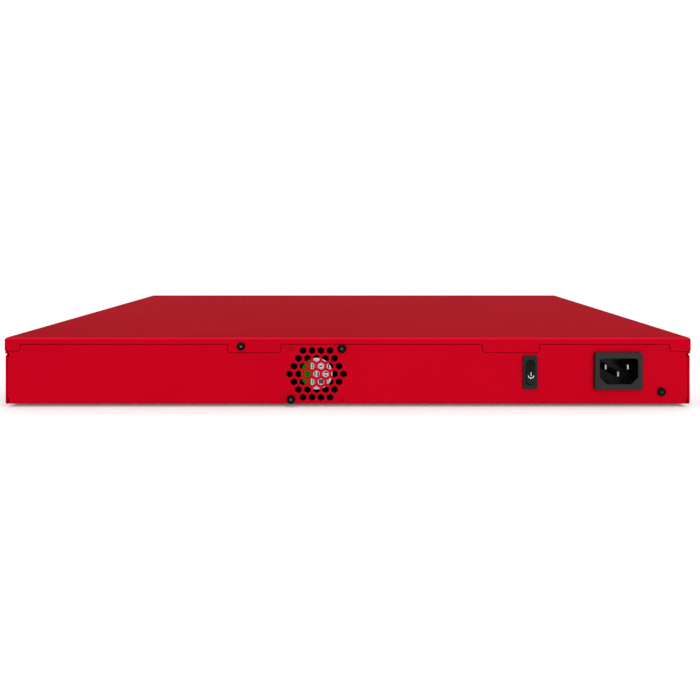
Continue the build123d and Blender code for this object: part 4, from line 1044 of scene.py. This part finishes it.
def legs_along(piece, low, high, axis, count, reach, z):
    """Gull-wing legs along the two sides of a package that run along an axis."""
    other = 1 - axis
    span = high[axis] - low[axis]
    pitch = span * 0.86 / (count - 1)
    centre = (low[axis] + high[axis]) / 2
    width = pitch * 0.42
    for side, edge in ((-1, low[other]), (1, high[other])):
        profile = [
            (edge - side * 0.05, z + 0.75),
            (edge + side * 0.3 * reach, z + 0.75),
            (edge + side * 0.6 * reach, z + 0.02),
            (edge + side * reach, z + 0.02),
            (edge + side * reach, z + 0.2),
            (edge + side * 0.7 * reach, z + 0.2),
            (edge + side * 0.4 * reach, z + 0.9),
            (edge - side * 0.05, z + 0.9),
        ]
        for i in range(count):
            place = centre + (i - (count - 1) / 2) * pitch
            piece.prism(profile, axis, place - width / 2, place + width / 2)


def package_legs():
    """Legs on all four sides of the network chips, and on two sides of their transformers."""
    legs = Piece()
    for low, high in solids("lan_chips"):
        for axis in (X, Y):
            legs_along(legs, low, high, axis, 22, 1.2, BOARD_TOP)
    for low, high in solids("lan_transformers"):
        legs_along(legs, low, high, X, 12, 1.3, BOARD_TOP)
    legs.finish("package_legs", TIN, "contact_metal")


BOARD_NODES = (
    "processor_heatsink", "card_sockets", "memory_modules", "drive_module", "battery_holder",
    "lan_jack_left", "lan_jack_right", "console_jack", "usb_jack", "pipe_carrier", "reset_switch",
    "lan_chips", "lan_transformers", "board_chokes", "capacitors", "wire_headers",
    "power_transformer", "bulk_capacitor", "power_heatsinks", "power_chokes",
)


def occupied():
    """Rectangles on the boards that the CAD parts take up, with a little room round them."""
    taken = []
    for names, room in ((BOARD_NODES, 1.6), (("board_standoffs",), 1.5)):
        for name in names:
            for low, high in solids(name):
                taken.append((low.x - room, low.y - room, high.x + room, high.y + room))
    return taken


def overlaps(patch, other):
    return patch[0] < other[2] and patch[2] > other[0] and patch[1] < other[3] and patch[3] > other[1]


SMALL_PARTS = (  # kind, length, width, height and how often it comes up
    ("resistor", 1.6, 0.8, 0.5, 16),
    ("ceramic", 1.6, 0.8, 0.85, 20),
    ("ceramic", 3.2, 1.6, 1.2, 5),
    ("chip", 3.0, 1.6, 1.1, 4),
    ("chip", 5.0, 4.0, 1.5, 4),
    ("chip", 7.0, 7.0, 1.2, 2),
    ("crystal", 5.0, 3.2, 1.1, 1),
)


def place_part(piece, ends, kind, place, size, height, across):
    """One small part, with its soldered ends or legs."""
    x, y = place
    low = (x - size[0] / 2, y - size[1] / 2)
    high = (x + size[0] / 2, y + size[1] / 2)
    piece.standing(x, y, BOARD_TOP, (*size, height))
    if kind == "chip":
        count = max(3, int(max(size) / 1.0))
        legs_along(ends, low, high, Y if across else X, count, 0.9, BOARD_TOP)
    elif kind != "crystal":
        axis = Y if across else X
        cap = max(size) * 0.2
        for side in (-1, 1):
            centre = [x, y]
            centre[axis] += side * (max(size) - cap) / 2
            covered = [size[0] + 0.06, size[1] + 0.06, height + 0.04]
            covered[axis] = cap
            ends.standing(*centre, BOARD_TOP, covered)


def small_parts():
    """Surface-mounted parts scattered over the free areas of both boards, always the same way."""
    chance = random.Random(11)
    grid, edge, gap = 0.635, 4, 0.9
    taken = occupied()
    bodies = {kind: Piece() for kind in ("resistor", "ceramic", "chip", "crystal")}
    ends = Piece()
    bag = [part[:4] for part in SMALL_PARTS for _ in range(part[4])]
    for node, tries in (("mainboard", 1500), ("power_board", 160)):
        low, high = box_mm(node)
        for _ in range(tries):
            kind, length, width, height = chance.choice(bag)
            across = chance.random() < 0.5
            size = (width, length) if across else (length, width)
            x = round(chance.uniform(low.x + edge, high.x - edge) / grid) * grid
            y = round(chance.uniform(low.y + edge, high.y - edge) / grid) * grid
            reach_x, reach_y = size[0] / 2 + gap, size[1] / 2 + gap
            patch = (x - reach_x, y - reach_y, x + reach_x, y + reach_y)
            if any(overlaps(patch, other) for other in taken):
                continue
            taken.append(patch)
            place_part(bodies[kind], ends, kind, (x, y), size, height, across)
    bodies["resistor"].finish("chip_resistors", SMALL_RESIN, "chip_package")
    bodies["ceramic"].finish("chip_capacitors", CERAMIC, "capacitor_sleeve")
    bodies["chip"].finish("small_chips", SMALL_RESIN, "chip_package", bevel=0.08)
    bodies["crystal"].finish("crystals", TIN, "zinc_steel", bevel=0.25)
    ends.finish("part_ends", TIN, "contact_metal")


# ---------------------------------------------------------------- inside: windings, springs, plugs


def choke_windings():
    """Enamelled wire wound round each ring choke in two halves."""
    coil = Piece()
    sweep, per_turn, clearance = 150, 16, 0.25
    for low, high in solids("power_chokes"):
        outer = (high.x - low.x) / 2
        inner, wire = (4.0, 0.5) if outer > 8 else (2.6, 0.42)
        mean, half_width = (outer + inner) / 2, (outer - inner) / 2 + clearance
        level, half_height = (low.z + high.z) / 2, (high.z - low.z) / 2 + clearance
        turns = int(inner * math.radians(sweep) / (2.1 * wire))
        steps = turns * per_turn
        for begin in (15, 195):
            path = []
            for i in range(steps + 1):
                around = math.radians(begin + sweep * i / steps)
                phase = 2 * math.pi * i / per_turn
                swing = Vector((math.cos(phase), math.sin(phase)))
                squareness = max(abs(swing.x), abs(swing.y)) ** 0.5
                radius = mean + half_width * swing.x / squareness
                x, y = turned(middle(low, high), radius, around)
                path.append((x, y, level + half_height * swing.y / squareness))
            coil.tube(path, wire)
    coil.finish("choke_windings", ENAMEL, "wound_copper")


def heatsink_springs():
    """Coil springs between the heatsink's base and its screws' heads."""
    springs = Piece()
    radius, wire, turns, steps = 2.2, 0.27, 5, 90
    bottom = box_mm("processor_heatsink")[0].z + 4.3
    for low, high in solids("heatsink_screws"):
        top = high.z - 2.2
        path = []
        for i in range(steps + 1):
            angle = 2 * math.pi * turns * i / steps
            z = bottom + (top - bottom) * i / steps
            path.append((*turned(middle(low, high), radius, angle), z))
        springs.tube(path, wire)
    springs.finish("heatsink_springs", SPRING_STEEL, "zinc_steel")


def header_plugs():
    """Plug housings in the headers, where the leads end."""
    plugs = Piece()
    for low, high in solids("wire_headers"):
        size = (high.x - low.x - 1.9, high.y - low.y - 1.9, high.z - BOARD_TOP - 0.2)
        plugs.standing(*middle(low, high), BOARD_TOP + 2.0, size)
    plugs.finish("header_plugs", PLUG_WHITE, "white_plastic", bevel=0.3)


def lead_ties():
    """Cable ties round the bundle between the power supply and the main board."""
    ties = Piece()
    boxes = solids("supply_leads")
    left = min(low.x for low, _ in boxes) - 0.1
    right = max(high.x for _, high in boxes) + 0.1
    top = max(high.z for _, high in boxes) + 0.25
    bottom, band = top - 3.4, 0.5
    for y in (-9.0, 2.0):
        outer = [
            (left - band, bottom - band), (right + band, bottom - band),
            (right + band, top + band), (left - band, top + band),
        ]
        inner = [(left, bottom), (right, bottom), (right, top), (left, top)]
        rings = []
        for i in range(4):
            corners = (
                (outer[i], y - 1.2), (outer[i], y + 1.2), (inner[i], y + 1.2), (inner[i], y - 1.2),
            )
            rings.append([on_axis(point, Y, level) for point, level in corners])
        ties.loft(rings, closed=True)
        ties.block((left + 2, y - 2.0, top + 0.1), (left + 5.5, y + 2.0, top + 2.4))
    ties.finish("lead_ties", TIE_BLACK, "black_plastic", bevel=0.2)


def capacitor_vents():
    """Cross pressed in relief on top of each can."""
    scores = Piece()
    for name in ("capacitors", "bulk_capacitor"):
        for low, high in solids(name):
            x, y = middle(low, high)
            reach = (high.x - low.x) * 0.28
            scores.block((x - reach, y - 0.15, high.z - 0.05), (x + reach, y + 0.15, high.z + 0.04))
            scores.block((x - 0.15, y - reach, high.z - 0.06), (x + 0.15, y + reach, high.z + 0.03))
    scores.finish("capacitor_vents", SPRING_STEEL, "sink_aluminium")


def card_fingers():
    """Gold edge contacts of the memory cards and the storage card."""
    fingers = Piece()
    for low, high in solids("memory_modules"):
        count = 60
        for i in range(count):
            y = low.y + 1.5 + (high.y - low.y - 3.0) * (i + 0.5) / count
            if abs(y - (low.y * 0.4 + high.y * 0.6)) > 1.2:
                fingers.block((low.x + 0.1, y - 0.22, low.z + 1.08), (low.x + 2.9, y + 0.22, low.z + 1.14))
    low, high = box_mm("drive_module")
    count = 36
    for i in range(count):
        x = low.x + 1.2 + (high.x - low.x - 2.4) * (i + 0.5) / count
        if abs(x - (low.x * 0.3 + high.x * 0.7)) > 0.9:
            fingers.block((x - 0.17, high.y - 3.4, low.z + 0.78), (x + 0.17, high.y - 0.1, low.z + 0.84))
    fingers.finish("card_fingers", GOLD, "contact_metal")


def cell_clip():
    """Sprung strap over the coin cell."""
    low, high = box_mm("coin_cell")
    x, y = middle(low, high)
    top = high.z
    clip = Piece()
    side = [
        (low.x - 1.6, top + 0.6), (low.x - 1.6, top + 1.0), (x - 3, top + 0.8), (x + 5, top + 0.35),
        (x + 6, top + 0.7), (x + 6.2, top + 0.45), (x + 5, top + 0.02), (x - 3, top + 0.4),
    ]
    clip.prism(side, Y, y - 2.2, y + 2.2)
    clip.finish("cell_clip", SPRING_STEEL, "zinc_steel", bevel=0.1)


def board_print():
    """Plain printed outlines round the larger parts of both boards."""
    lines = Piece()
    width, thick = 0.18, 0.02
    for name in ("lan_chips", "lan_transformers", "board_chokes", "wire_headers", "power_heatsinks"):
        for low, high in solids(name):
            left, right = low.x - 1.9, high.x + 1.9
            near, far = low.y - 1.9, high.y + 1.9
            for y in (near, far):
                lines.block((left, y, BOARD_TOP - 0.02), (right, y + width, BOARD_TOP + thick))
            for x in (left, right):
                lines.block((x, near, BOARD_TOP - 0.02), (x + width, far + width, BOARD_TOP + thick))
    lines.finish("board_print", PRINT_WHITE, "label_film")


def fixing_pads():
    """Plated rings under the board screws."""
    pads = Piece()
    for low, high in solids("board_standoffs"):
        pads.ring(middle(low, high), 4.0, 1.8, Z, BOARD_TOP - 0.02, BOARD_TOP + 0.03)
    pads.finish("fixing_pads", GOLD, "contact_metal")


power_symbol()
port_contacts()
port_lamps()
port_numbers()
port_brackets()
usb_contacts()
shield_fingers()
package_legs()
small_parts()
choke_windings()
heatsink_springs()
header_plugs()
lead_ties()
capacitor_vents()
card_fingers()
cell_clip()
board_print()
fixing_pads()
